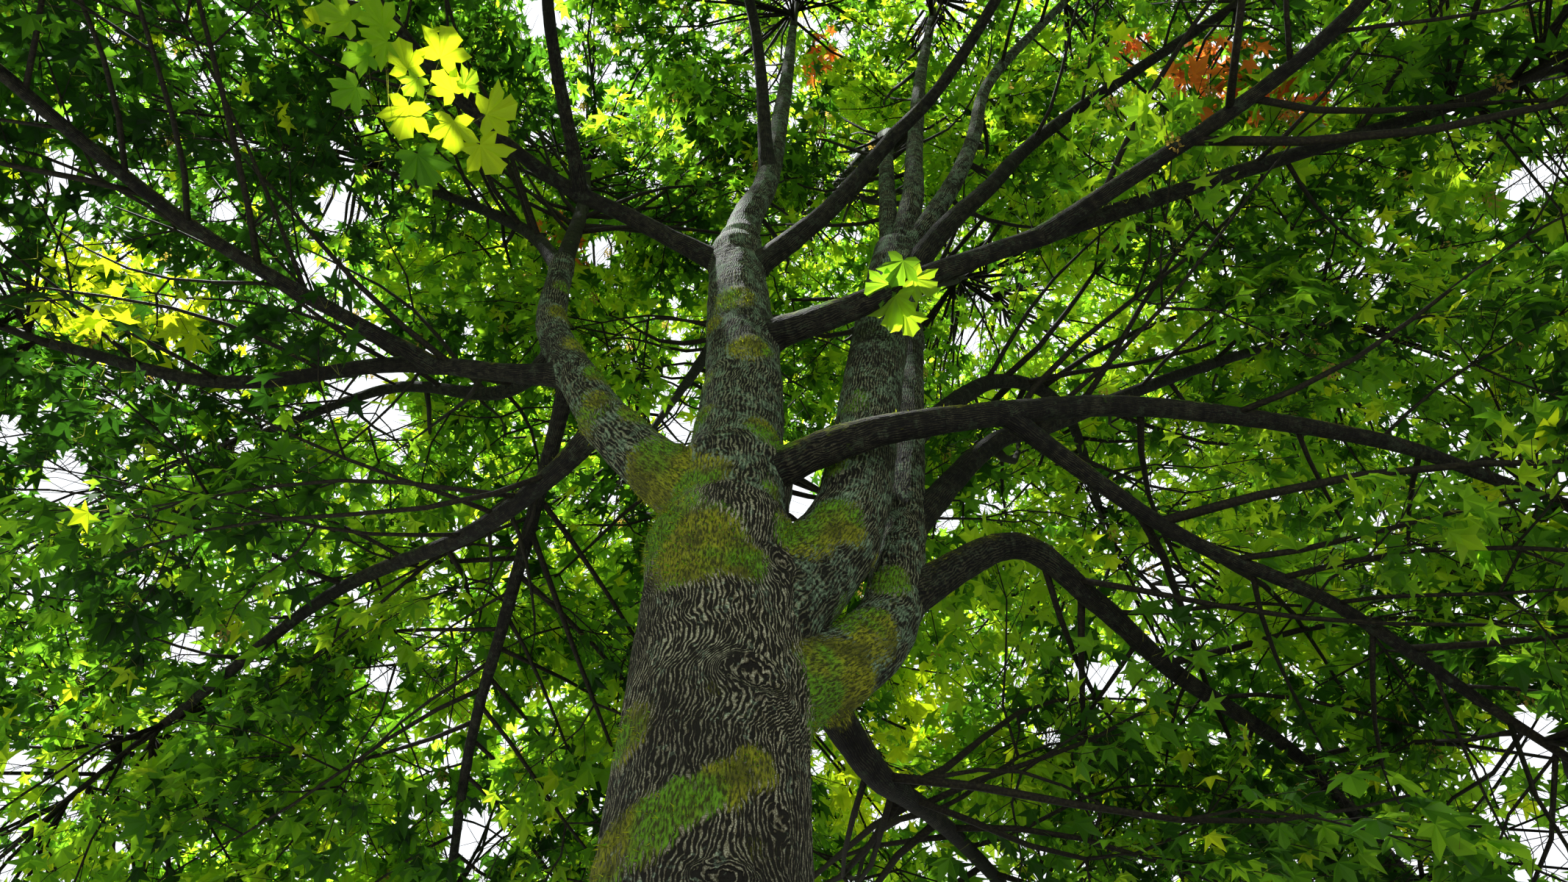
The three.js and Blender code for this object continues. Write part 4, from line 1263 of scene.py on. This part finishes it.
# %% [markdown]
# Which sprays are painted dark and which bright
#
# In the photograph the crown is darkest at the upper left and brightest behind the stems, and early
# orange tufts and bright yellow ones sit in a few small places. The dark and bright places are painted
# shade and painted light: they move each spray's tint, which is otherwise an even draw, down or up.
# Most yellow tufts sit where a beam of sun comes down, so their yellow is partly painted sunlight. These
# places could be painted onto the picture, but a tree is looked at from all sides. So they are listed in
# the same way as the gaps, and each leaf's tint is then its own.

# %% Places in the view
BRIGHTER = [
    # x, y and radius in pixels, and how many tints brighter: painted light above zero, painted shade below
    (200, 160, 330, -1.5), (120, 480, 200, -1.2), (880, 130, 150, -0.9), (1960, 1010, 230, -0.8),
    (2000, 560, 180, -0.7), (360, 500, 140, -0.5), (760, 560, 190, 0.9), (640, 950, 170, 0.9),
    (1220, 1020, 200, 1.2), (1500, 560, 280, 0.8), (1170, 180, 130, 0.8), (1800, 760, 200, 0.9),
    (700, 350, 120, 0.8), (1350, 330, 160, 0.6), (300, 1050, 170, 0.6),
]
LEVELS = (0.1, 3.7)
LEAF_SPREAD = 2.4
# Now and then a leaf is yellow: partly its own colour and partly painted sunlight, as bright specks.
YELLOW_SHARE, TUFT_SHARE, RUST_SHARE = 0.03, 0.75, 0.3
ORANGE_TUFTS = [(1655, 100, 52), (1745, 160, 26), (1537, 62, 20), (1123, 78, 22), (775, 330, 22)]
# Most yellow tufts sit under the beams of sun listed further on, so their yellow is partly painted sunlight.
YELLOW_TUFTS = [(150, 410, 60), (260, 420, 40), (1660, 260, 22), (1180, 1060, 60), (1250, 960, 50)]


def spray_levels(sprays):
    """How bright each spray is, in tints: an even draw, moved by the places that are dark or bright,
    which is painted shade and painted light.
    """
    level = LEVELS[0] + LEVELS[1] * chance(sprays["key"], 77)
    middle = on_blade(sprays, 0.4)
    for x, y, radius, brighter in BRIGHTER:
        level = level + brighter * np.exp(-(view_share(middle, x, y, radius) ** 2))
    return level


def leaf_tints(level, place, key, number):
    """Each leaf's tint: its spray's level give or take about one, now and then yellow, and yellow or
    orange for most leaves within a tuft. The yellow is partly painted sunlight."""
    tint = np.clip(np.rint(level + LEAF_SPREAD * luck(key, 207, number)), 0, YELLOW - 1)
    tint = np.where(chance(key, 208, number) < YELLOW_SHARE, YELLOW, tint)
    for tufts, colour in ((YELLOW_TUFTS, YELLOW), (ORANGE_TUFTS, ORANGE)):
        for x, y, radius in tufts:
            inside = view_share(place, x, y, radius) < 1
            tint = np.where(inside & (chance(key, 209, number) < TUFT_SHARE), colour, tint)
    return np.where((tint == ORANGE) & (chance(key, 210, number) < RUST_SHARE), RUST, tint).astype(int)


print(len(ORANGE_TUFTS), "orange tufts and", len(YELLOW_TUFTS), "yellow ones")

# %% [markdown]
# Beams of sun, and bare undersides
#
# Small bright leaves sparkle all over the photograph: the sun comes down through chinks in the crown and
# lights a few leaves far below. A lamp behind each leaf could fake that. Here the chinks are real: from
# each lit place up to the sun, a narrow beam is kept free of leaves. A bough also shades what hangs
# beneath it, so its underside is mostly bare, and it can be followed with the eye to its end.

# %% Beams and undersides
SUN_TILT = (0.0, math.radians(-25))
TO_SUN = np.array([
    math.cos(SUN_TILT[0]) * math.sin(SUN_TILT[1]), -math.sin(SUN_TILT[0]),
    math.cos(SUN_TILT[0]) * math.cos(SUN_TILT[1]),
])
LIT_PLACES = [
    # x and y in pixels, distance from the eye, radius of the beam in metres
    (590, 130, 7.9, 0.33), (1215, 410, 7.6, 0.22), (150, 410, 9.0, 0.5), (265, 425, 8.5, 0.4),
    (1180, 1060, 9.5, 0.5), (1250, 960, 10.5, 0.4), (1480, 370, 10, 0.4), (650, 1080, 9.0, 0.4),
    (540, 1020, 9.5, 0.3), (1620, 560, 9.5, 0.35), (1880, 880, 9.0, 0.35), (1340, 640, 11, 0.3),
]
BEAMS = 420
BEAM_WIDTH = 0.155
BEAM_START = 0.3
BARE_BENEATH = 0.85
BARE_MARGIN = 0.10
BARE_STEPS = 36
STEM_WIDE = 0.02
NEARER_BY = 0.05


def beam_feet():
    """The foot and radius of each beam: the listed places, and the middles of sprays drawn by chance on
    the inner side of the crown."""
    middle = on_blade(SPRAYS)
    draw = chance(SPRAYS["key"], 61) + (depth_in_crown(middle) > 0.85)
    picked = np.argsort(draw)[:BEAMS]
    wide = BEAM_WIDTH * (1 + 0.8 * luck(SPRAYS["key"][picked], 62))
    listed = [(*(np.array(EYE) + toward(x, y) * away), radius) for x, y, away, radius in LIT_PLACES]
    return np.concatenate([listed, np.concatenate([middle[picked], wide[:, None]], 1)])


BEAM_FEET = beam_feet()


def in_beam(place):
    """Whether each place is in a beam: far enough from its foot towards the sun, and nearer to its line
    than its radius. The square of that distance is the whole square less the square of the part along."""
    inside = np.zeros(len(place), bool)
    for foot in BEAM_FEET:
        away = place - foot[:3]
        ahead = away @ TO_SUN
        inside |= (ahead > BEAM_START) & (np.sum(away**2, axis=1) - ahead**2 < foot[3] ** 2)
    return inside


def beneath_wood(place):
    """Whether each place hangs before a stem or bough, as the viewer sees it: the angle between them is
    less than the limb's radius and a margin over the distance, and it is nearer."""
    away = np.linalg.norm(place - EYE, axis=1)
    way = (place - EYE) / away[:, None]
    before = np.zeros(len(place), bool)
    shares = np.linspace(0, 1, BARE_STEPS)
    paths = [(curve_at(limb.points, shares), limb.thin) for limb in LIMBS.values() if limb.on]
    paths += [(stem_frames(number)[0], STEM_WIDE) for number in range(len(leafy_limbs))]
    for path, radius in paths:
        far = np.linalg.norm(path - EYE, axis=1)
        cosine = way @ ((path - EYE) / far[:, None]).T
        nearest = np.argmax(cosine, axis=1)
        angle = np.arccos(np.clip(cosine[np.arange(len(place)), nearest], -1, 1))
        before |= (angle < (radius + BARE_MARGIN) / far[nearest]) & (away < far[nearest] - NEARER_BY)
    return before


print(len(BEAM_FEET), "beams of sun")

# %% [markdown]
# One leaf
#
# The leaf has five lobes with blunt teeth, and is 10 to 25 cm long. A picture of a leaf on a card would
# be light, but it is see-through at its edge and lies. So each leaf is a fan of triangles from the top
# of its stalk to its outline. Near leaves have teeth, middle ones have shoulders, and far ones only
# lobes, because they are a few pixels wide.

# %% Leaf outlines
HALF_OUTLINES = {
    # right half, from the stalk round to the tip: across, along and up, in leaf lengths
    "near": [
        (0.10, -0.16, 0.03), (0.34, -0.23, -0.02), (0.56, -0.11, -0.09), (0.45, 0.02, -0.03),
        (0.36, 0.12, 0.04), (0.52, 0.22, -0.01), (0.60, 0.36, -0.04), (0.72, 0.57, -0.14),
        (0.52, 0.56, -0.05), (0.40, 0.60, -0.01), (0.26, 0.48, 0.05), (0.29, 0.64, 0.01),
        (0.33, 0.78, -0.04), (0.17, 0.85, -0.06), (0.0, 1.0, -0.18),
    ],
    "middle": [
        (0.17, -0.22, 0.02), (0.56, -0.12, -0.09), (0.32, 0.13, 0.05), (0.56, 0.30, -0.02),
        (0.71, 0.57, -0.14), (0.23, 0.45, 0.06), (0.31, 0.74, -0.03), (0.0, 1.0, -0.18),
    ],
    "far": [
        (0.54, -0.16, -0.09), (0.27, 0.14, 0.04), (0.70, 0.56, -0.12), (0.22, 0.45, 0.04), (0.0, 1.0, -0.16),
    ],
}
RANGES = {"near": (0, 4.8), "middle": (4.8, 6.9), "far": (6.9, 1e9)}


def leaf_outline(kind):
    """The whole outline: the right half, then the left one as its mirror, back to the stalk."""
    half = np.array(HALF_OUTLINES[kind])
    return np.concatenate([half, half[-2::-1] * (-1, 1, 1)])


print({kind: len(leaf_outline(kind)) - 1 for kind in HALF_OUTLINES}, "triangles in a leaf")

# %% [markdown]
# Where the leaves sit
#
# Leaves stand in pairs on every twig, on long stalks, with a tuft at each twig's end. Every leaf turns
# its face to the light and lets its tip hang. Scattering them on the twigs by chance would be quicker, but
# the pairs would be lost. So each twig has the same few slots, and each leaf's place, length, turn and
# tilt are arrays again.

# %% Leaf places
LEAF_SLOTS = np.array([
    # place along its twig, turn from the twig's way, size
    (0.45, 1.15, 0.85), (0.45, -1.15, 0.85), (1.0, 0.75, 1.0), (1.0, -0.75, 1.0), (1.0, 0.0, 1.1),
])
AXIS_SLOTS = np.array([
    # place along the whole axis, turn, size
    (0.5, 1.2, 0.9), (0.5, -1.2, 0.9), (0.72, 1.2, 1.0), (0.72, -1.2, 1.0),
    (1.0, 0.9, 1.0), (1.0, -0.9, 1.0), (1.0, 0.0, 1.15),
])
LEAF_LENGTH = 0.172
LEAF_STALK = 0.13
LEAF_SHARE = 0.98
FAR_LEAF = 0.92
STALK_HALF_WIDTH = 0.002
TO_MIDDLE = 0.1


def leaf_places(sprays):
    """The root of each leaf's stalk, its way and its size, in the spray's frame: on the side twigs, the
    place and way there turned by the slot's angle, and on the axis in the same way."""
    count = len(sprays["key"])
    twigs = side_twigs(sprays)
    share = LEAF_SLOTS[:, 0] * (TWIG_STEPS - 1)
    low = np.minimum(share.astype(int), TWIG_STEPS - 2)
    part = (share - low)[None, None, :, None]
    root = twigs[:, :, low] * (1 - part) + twigs[:, :, low + 1] * part
    way = unit(twigs[:, :, low + 1] - twigs[:, :, low])
    turn, size = (np.broadcast_to(LEAF_SLOTS[:, i], root.shape[:3]) for i in (1, 2))
    length = (sprays["stalk"] + sprays["blade"])[:, None]
    axis_root = spray_axis(sprays, AXIS_SLOTS[:, 0] * length)
    axis_way = unit(spray_axis(sprays, AXIS_SLOTS[:, 0] * length + 0.01) - axis_root)
    axis_turn, axis_size = (np.broadcast_to(AXIS_SLOTS[:, i], axis_root.shape[:2]) for i in (1, 2))
    pairs = ((root, axis_root), (way, axis_way), (turn, axis_turn), (size, axis_size))
    return [np.concatenate([one.reshape(count, -1, *one.shape[3:]), other], 1) for one, other in pairs]


def leaves_of(sprays):
    """All the leaves of some sprays, as flat arrays: the root of the stalk, the junction where the blade
    begins, the blade's way and face, its length, its tint and its distance from the viewer."""
    root, way, turn, size = leaf_places(sprays)
    number = np.arange(root.shape[1])
    key = sprays["key"][:, None]
    lucks = [luck(key, 200 + i, number) for i in range(7)]
    turn = turn + 0.9 * lucks[0]
    x, y, z = way[..., 0], way[..., 1], way[..., 2]
    cos, sin = np.cos(turn), np.sin(turn)
    aside = np.stack([x * cos + y * sin, y * cos - x * sin, z + 0.35 + 0.8 * lucks[1]], -1)
    base = placed(sprays, root)
    stalk_way = unit(placed(sprays, root + aside) - base)
    stalk = LEAF_STALK * (1 + 0.8 * lucks[2]) * size
    junction = base + stalk_way * stalk[..., None]
    hang = (0.35 + 1.1 * chance(key, 300, number))[..., None]
    blade_way = unit(stalk_way - hang * UP)
    wobble = np.stack([lucks[3], lucks[4], lucks[5]], -1)
    face = 0.6 * sprays["face"][:, None] + 0.6 * UP + 1.3 * wobble
    face = square_to(blade_way, face)
    length = LEAF_LENGTH * size * (1 + 0.6 * lucks[6])
    length = length * np.where(np.linalg.norm(base - EYE, axis=-1) > RANGES["far"][0], FAR_LEAF, 1)
    kept = chance(key, 212, number) < LEAF_SHARE
    flat = {
        "base": base, "junction": junction, "way": blade_way, "face": face, "length": length,
        "tint": leaf_tints(spray_levels(sprays)[:, None], base, key, number),
        "away": np.linalg.norm(junction - EYE, axis=-1),
        "kept": kept & ~in_gap(junction + blade_way * TO_MIDDLE, key, number),
        "hides": chance(key, 213, number) < BARE_BENEATH,
    }
    flat = {name: values.reshape(-1, *values.shape[2:]) for name, values in flat.items()}
    tip = flat["junction"] + flat["way"] * flat["length"][:, None]
    inside = (depth_in_crown(tip) < 1.0) & ~in_opening(tip) & ~in_opening(flat["junction"])
    flat = chosen(flat, inside & flat["kept"])
    middle = flat["junction"] + flat["way"] * TO_MIDDLE
    return chosen(flat, ~in_beam(middle) & ~(beneath_wood(middle) & flat["hides"]))


def leaf_fans(leaves, kind):
    """The blades of some leaves as fans: the junction and the outline, times the leaf's length, in the
    leaf's own directions. Gives back the corners and the triangles."""
    outline = leaf_outline(kind)
    spots = np.concatenate([[(0, 0, 0)], outline])
    length = leaves["length"][:, None, None]
    aside = np.cross(leaves["way"], leaves["face"])
    x, y, z = (spots[None, :, i : i + 1] * length for i in range(3))
    corners = leaves["junction"][:, None] + x * aside[:, None] + y * leaves["way"][:, None]
    corners = corners + z * leaves["face"][:, None]
    rim = np.arange(len(outline) - 1) + 1
    fan = np.stack([0 * rim, rim, rim + 1], -1)
    triangles = fan[None] + (np.arange(len(length)) * len(spots))[:, None, None]
    return corners.reshape(-1, 3), triangles.reshape(-1, 3)


def stalk_slivers(leaves):
    """The stalks of some leaves: from two corners 4 mm apart on the twig to the junction."""
    across = unit(np.cross(leaves["junction"] - leaves["base"], leaves["face"])) * STALK_HALF_WIDTH
    corners = np.stack([leaves["base"] - across, leaves["base"] + across, leaves["junction"]], 1)
    return corners.reshape(-1, 3), np.arange(3 * len(across)).reshape(-1, 3)


def fans_and_stalks(leaves):
    """The blades of some leaves, each as fine as its distance asks, and their stalks, as one lot, with a
    tint for each triangle."""
    parts, tints = [], []
    for kind, (low, high) in RANGES.items():
        some = chosen(leaves, (leaves["away"] >= low) & (leaves["away"] < high))
        corners, triangles = leaf_fans(some, kind)
        parts.append((corners, [triangles]))
        tints.append(np.repeat(some["tint"], len(leaf_outline(kind)) - 1))
    corners, triangles = stalk_slivers(leaves)
    parts.append((corners, [triangles]))
    tints.append(np.full(len(triangles), STALK_TINT))
    return *merged(parts), np.concatenate(tints)


def blade_piece(number):
    """All the leaves of a mass as one piece, each leaf's triangles with its tint."""
    leaves = leaves_of(chosen(SPRAYS, SPRAYS["owner"] == number))
    corners, polygons, tints = fans_and_stalks(leaves)
    name = leafy_limbs[number].name
    piece = mesh_piece(name + "_blades", corners, polygons, False, tints, LEAF_PAINTS)
    dressed(piece, name + "_leaves")
    return piece, len(leaves["tint"])


blade_pieces, leaf_counts = zip(*[blade_piece(number) for number in range(len(leafy_limbs))])
print(sum(leaf_counts), "leaves of", sum(map(triangles_in, blade_pieces)), "triangles")
print("largest piece:", max(map(triangles_in, blade_pieces)), "in", so_far())

# %% [markdown]
# Leaves that catch the eye
#
# Two places in the photograph are nearer than the rest: a twig with a dozen big leaves that the sun
# shines through, at the upper left, and a few leaves that hang under the long bough in front of the
# right stem. They could be left to chance, but they are what one sees first. So these leaves are listed
# by their pixels, at the distance of the bough that carries them.

# %% Near twigs
# These near leaves take tints from the bright end, so besides the real sun in their beams they carry painted
# sunlight.
SUNLIT_LEAVES = [
    # x and y in pixels, turn in the picture in degrees, length, tint
    (608, 59, 60, 0.26, 5), (550, 74, 95, 0.22, 5), (507, 64, 200, 0.22, 4), (510, 15, 110, 0.23, 4),
    (604, 112, 130, 0.19, 5), (683, 150, 15, 0.28, 5), (550, 166, 250, 0.25, 5), (617, 186, 265, 0.24, 5),
    (666, 217, 300, 0.27, 5), (484, 79, 190, 0.18, 3), (578, 232, 290, 0.27, 2), (560, 118, 230, 0.15, 4),
    (455, 20, 160, 0.22, 4), (470, 130, 215, 0.20, 3), (640, 108, 40, 0.16, 4),
]
STEM_LEAVES = [
    (1222, 372, 250, 0.22, 3), (1258, 388, 330, 0.20, 4), (1192, 392, 200, 0.20, 3),
    (1216, 425, 265, 0.27, 4), (1236, 440, 290, 0.20, 4),
]
NEAR_TWIG_STEPS = 24
NEAR_TWIG_RADII = (0.011, 0.003)


def at_pixel(x, y, away):
    """The place that a pixel shows at a distance from the eye."""
    return np.array(EYE) + toward(x, y) * away


def near_twig(name, path, leaves, away, node):
    """A twig along a path, and leaves of a list on it: each one's junction is at its pixel's place, its
    tip points along its turn as the viewer sees it, and its stalk comes from the nearest point of the
    path. The faces look down at the viewer, a little turned by luck."""
    path = curve_at(path, np.linspace(0, 1, NEAR_TWIG_STEPS))
    table = np.array(leaves)
    middle = np.array([at_pixel(x, y, away) for x, y in table[:, :2]])
    number = np.arange(len(table))
    back = unit(middle - EYE)
    right = np.array([1.0, 0, 0])
    above = np.cross(right, back)
    turn = np.radians(table[:, 2])[:, None]
    way = unit(right * np.cos(turn) + above * np.sin(turn) - 0.25 * back)
    wobble = np.stack([luck(900, number, i) for i in range(3)], -1)
    face = square_to(way, back + 0.9 * wobble)
    junction = middle - way * table[:, 3:4] * 0.45
    nearest = np.argmin(np.linalg.norm(junction[:, None] - path, axis=-1), axis=1)
    flat = {
        "base": path[np.maximum(nearest - 1, 0)], "junction": junction, "way": way, "face": face,
        "length": table[:, 3], "tint": table[:, 4].astype(int), "away": np.zeros(len(table)),
    }
    corners, polygons, tints = fans_and_stalks(flat)
    blades = mesh_piece(name + "_blades", corners, polygons, False, tints, LEAF_PAINTS)
    dressed(blades, node)
    radii = np.linspace(*NEAR_TWIG_RADII, len(path))[None]
    tube = tubes(path[None], radii, np.broadcast_to(UP + 0.1, path.shape)[None], 6)
    twig = mesh_piece(name + "_twig", *tube, materials=[TWIG_BARK])
    dressed(twig, node)
    print(name, "has", len(table), "leaves")


near_twig("sunlit", [LIMBS["front_left_bough"].points[3], (-2.75, -1.45, 9.6), (-2.75, -1.45, 9.1),
          at_pixel(470, 160, 8.1), at_pixel(560, 150, 8.0), at_pixel(650, 180, 7.95)],
          SUNLIT_LEAVES, 7.9, "front_left_bough_leaves")
near_twig("stem", [(1.10, -0.43, 8.17), at_pixel(1210, 385, 7.75), at_pixel(1222, 420, 7.6)],
          STEM_LEAVES, 7.6, "right_long_bough_leaves")

# %% [markdown]
# Winged seeds
#
# A maple's seeds hang in bunches, in pairs with a wing each. A bunch could be one card with a picture,
# but from below it would be a line. Each wing here is a bent blade of two triangles, and bunches hang
# from about one spray in five.

# %% Seed bunches
SEED_PAIRS = 11
WING = 0.045
WING_HALF_WIDTH = 0.012
BUNCH_SHARE = 0.2
BUNCH = {"drop": 0.03, "length": 0.15, "half width": 0.025}
EVEN_TURN = 2.4


def seed_bunches():
    """Pairs of wings under the tips of some sprays: each pair 2.4 radians further round a hanging line
    15 cm long, each wing leaned out and down, as two triangles from the seed to the wing's tip."""
    some = chosen(SPRAYS, chance(SPRAYS["key"], 90) < BUNCH_SHARE)
    key = some["key"][:, None]
    number = np.arange(SEED_PAIRS)[None]
    tip = placed(some, spray_axis(some, (some["stalk"] + 0.8 * some["blade"])[:, None]))
    inside = ~in_opening(tip[:, 0] - UP * 0.3)
    some, key, tip = chosen(some, inside), key[inside], tip[inside]
    along = (number + 0.5) / SEED_PAIRS
    turn = EVEN_TURN * number + 3 * chance(key, 91)
    flat = np.stack([np.cos(turn), np.sin(turn), 0 * turn], -1)
    seed = tip - UP * (BUNCH["drop"] + BUNCH["length"] * along)[..., None] + flat * BUNCH["half width"]
    wings = []
    for hand in (-1, 1):
        side = np.stack([-np.sin(turn), np.cos(turn), 0 * turn], -1) * hand
        way = unit(side * 0.7 + flat * 0.3 - UP * (0.6 + 0.5 * luck(key, 92, number))[..., None])
        broad = flat * WING_HALF_WIDTH
        front, back = seed + way * WING * 0.55 + broad, seed + way * WING * 0.6 - broad
        wings.append(np.stack([seed, front, seed + way * WING, back], -2))
    corners = np.concatenate(wings, 1).reshape(-1, 3)
    quads = np.arange(len(corners)).reshape(-1, 4)
    paint = leaf_paint("seed wing", (0.20, 0.13, 0.035), (0.50, 0.34, 0.06))
    piece = mesh_piece("seed_bunches", corners, [quads], False, materials=[paint])
    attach(piece, "root")
    print(len(tip), "bunches of", SEED_PAIRS, "pairs;", triangles_in(piece), "triangles")


seed_bunches()

# %% [markdown]
# Moss that stands out from the wood
#
# Where the light comes from behind, the moss shows as a bright fringe along the boughs. A bump can't
# change an outline, so the thickest moss gets real tufts: thin blades 1 to 4 cm long, which stand out of
# the skin and hang a little. Each tuft takes its place from the skin's own points.

# %% Moss tufts
MOSS_PAINTS = [
    leaf_paint("moss tuft", (0.060, 0.070, 0.008), (0.200, 0.240, 0.012)),
    leaf_paint("bright moss tuft", (0.130, 0.150, 0.008), (0.420, 0.480, 0.015)),
    leaf_paint("fresh moss tuft", (0.060, 0.150, 0.006), (0.200, 0.460, 0.012)),
]
TUFT_LENGTH = (0.014, 0.028)
TUFT_HALF_WIDTH = 0.004
THICK_MOSS = (0.35, 0.8)
TUFTS_FOR = {"trunk": 26000, "stem": 7000, "thick": 1300, "thin": 700}


def read_back(items, field, size):
    """One field of a mesh's points as an array, with a row for each point."""
    values = np.empty(len(items) * size, np.float32)
    items.foreach_get(field, values)
    return values.reshape(-1, size)


def moss_tufts():
    """Blades on points of the skins, drawn where the moss is thick: each from two corners on the skin to
    one that stands out by 1 to 4 cm, times the limb's stoutness, and hangs."""
    corners, tints = [], []
    for order, (limb, skin) in enumerate(zip(LIMBS.values(), skins)):
        place, out = (read_back(skin.data.vertices, field, 3) for field in ("co", "normal"))
        moss = read_back(skin.data.attributes["moss"].data, "value", 1)[:, 0]
        number = np.arange(TUFTS_FOR[kind_of(limb)])
        point = (chance(400, order, number) * len(place)).astype(int)
        thick = chance(401, order, number) < eased(moss[point], *THICK_MOSS)
        number, point = number[thick], point[thick]
        lucks = np.stack([luck(402 + i, order, number) for i in range(6)], -1)
        stout = min(1.0, 0.35 + limb.thick / 0.5)
        root = place[point] + lucks[:, 3:] * 0.02
        across = unit(np.cross(out[point], lucks[:, :3] + (0.01, 0, 0))) * TUFT_HALF_WIDTH
        length = (TUFT_LENGTH[0] + TUFT_LENGTH[1] * chance(408, order, number))[:, None] * stout
        tip = root + unit(out[point] + 0.9 * lucks[:, :3] - UP * 0.35) * length
        corners.append(np.stack([root - across, root + across, tip], 1).reshape(-1, 3))
        tints.append(np.digitize(chance(409, order, number) + 0.5 * noise(root * 3, 42), (0.4, 0.75)))
    corners, tints = np.concatenate(corners), np.concatenate(tints)
    blades = [np.arange(len(corners)).reshape(-1, 3)]
    piece = mesh_piece("moss_tufts", corners, blades, False, tints, MOSS_PAINTS)
    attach(piece, "root")
    print(len(tints), "tufts of moss in", so_far())


moss_tufts()

# %% [markdown]
# Floor, pale world and soft light
#
# The crown is lit from all round: bright white shines through the leaves and rims the boughs. Lamps alone
# could do that only with dozens of them. So the world itself is plain and pale, over a plain pale floor.
# A soft sun, high at the left, shines down through the crown, and a broad panel behind the viewer's right
# shoulder keeps the bark readable.

# %% Floor and light
FLOOR_SIZE = 60
FLOOR_CORNERS = 64
FLOOR_DROP = 0.002
FLOOR_COLOUR = (0.26, 0.257, 0.250, 1)
WORLD_COLOUR, WORLD_STRENGTH = (0.93, 0.96, 1.0, 1), 1.25
PANEL_TURN = (math.radians(74), 0, math.radians(33))
LAMPS = [
    # name, kind, energy, place, turn, and angle or width
    ("sun", "SUN", 18.0, (0, 0, 30), (*SUN_TILT, 0), math.radians(2)),
    ("panel", "AREA", 120, (4.5, -7.0, 2.6), PANEL_TURN, 4.0),
]


def studio():
    """A pale disc of floor, an even pale world, a soft sun and one soft panel."""
    angle = 2 * np.pi * np.arange(FLOOR_CORNERS) / FLOOR_CORNERS
    rim = np.stack([np.cos(angle), np.sin(angle), 0 * angle], -1) * FLOOR_SIZE - UP * FLOOR_DROP
    pale = Paint("pale floor")
    values = {"Base Color": FLOOR_COLOUR, "Roughness": 0.9}
    paint = pale.finished(pale.node("ShaderNodeBsdfPrincipled", {}, values))
    floor = mesh_piece("floor", rim, [np.arange(FLOOR_CORNERS)[None]], False, materials=[paint])
    world = bpy.data.worlds.new("pale world")
    world.use_nodes = True
    world.node_tree.nodes["Background"].inputs["Color"].default_value = WORLD_COLOUR
    world.node_tree.nodes["Background"].inputs["Strength"].default_value = WORLD_STRENGTH
    bpy.context.scene.world = world
    bpy.context.scene.view_settings.view_transform = "Standard"
    for name, kind, energy, place, turn, size in LAMPS:
        lamp = bpy.data.lights.new(name, kind)
        lamp.energy = energy
        if kind == "SUN":
            lamp.angle = size
        else:
            lamp.size = size
        light = bpy.data.objects.new(name, lamp)
        light.location, light.rotation_euler = place, turn
        bpy.context.scene.collection.objects.link(light)


studio()
print("floor, world, sun and panel are in place")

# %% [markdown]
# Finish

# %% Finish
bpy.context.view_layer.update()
print("made in", so_far())
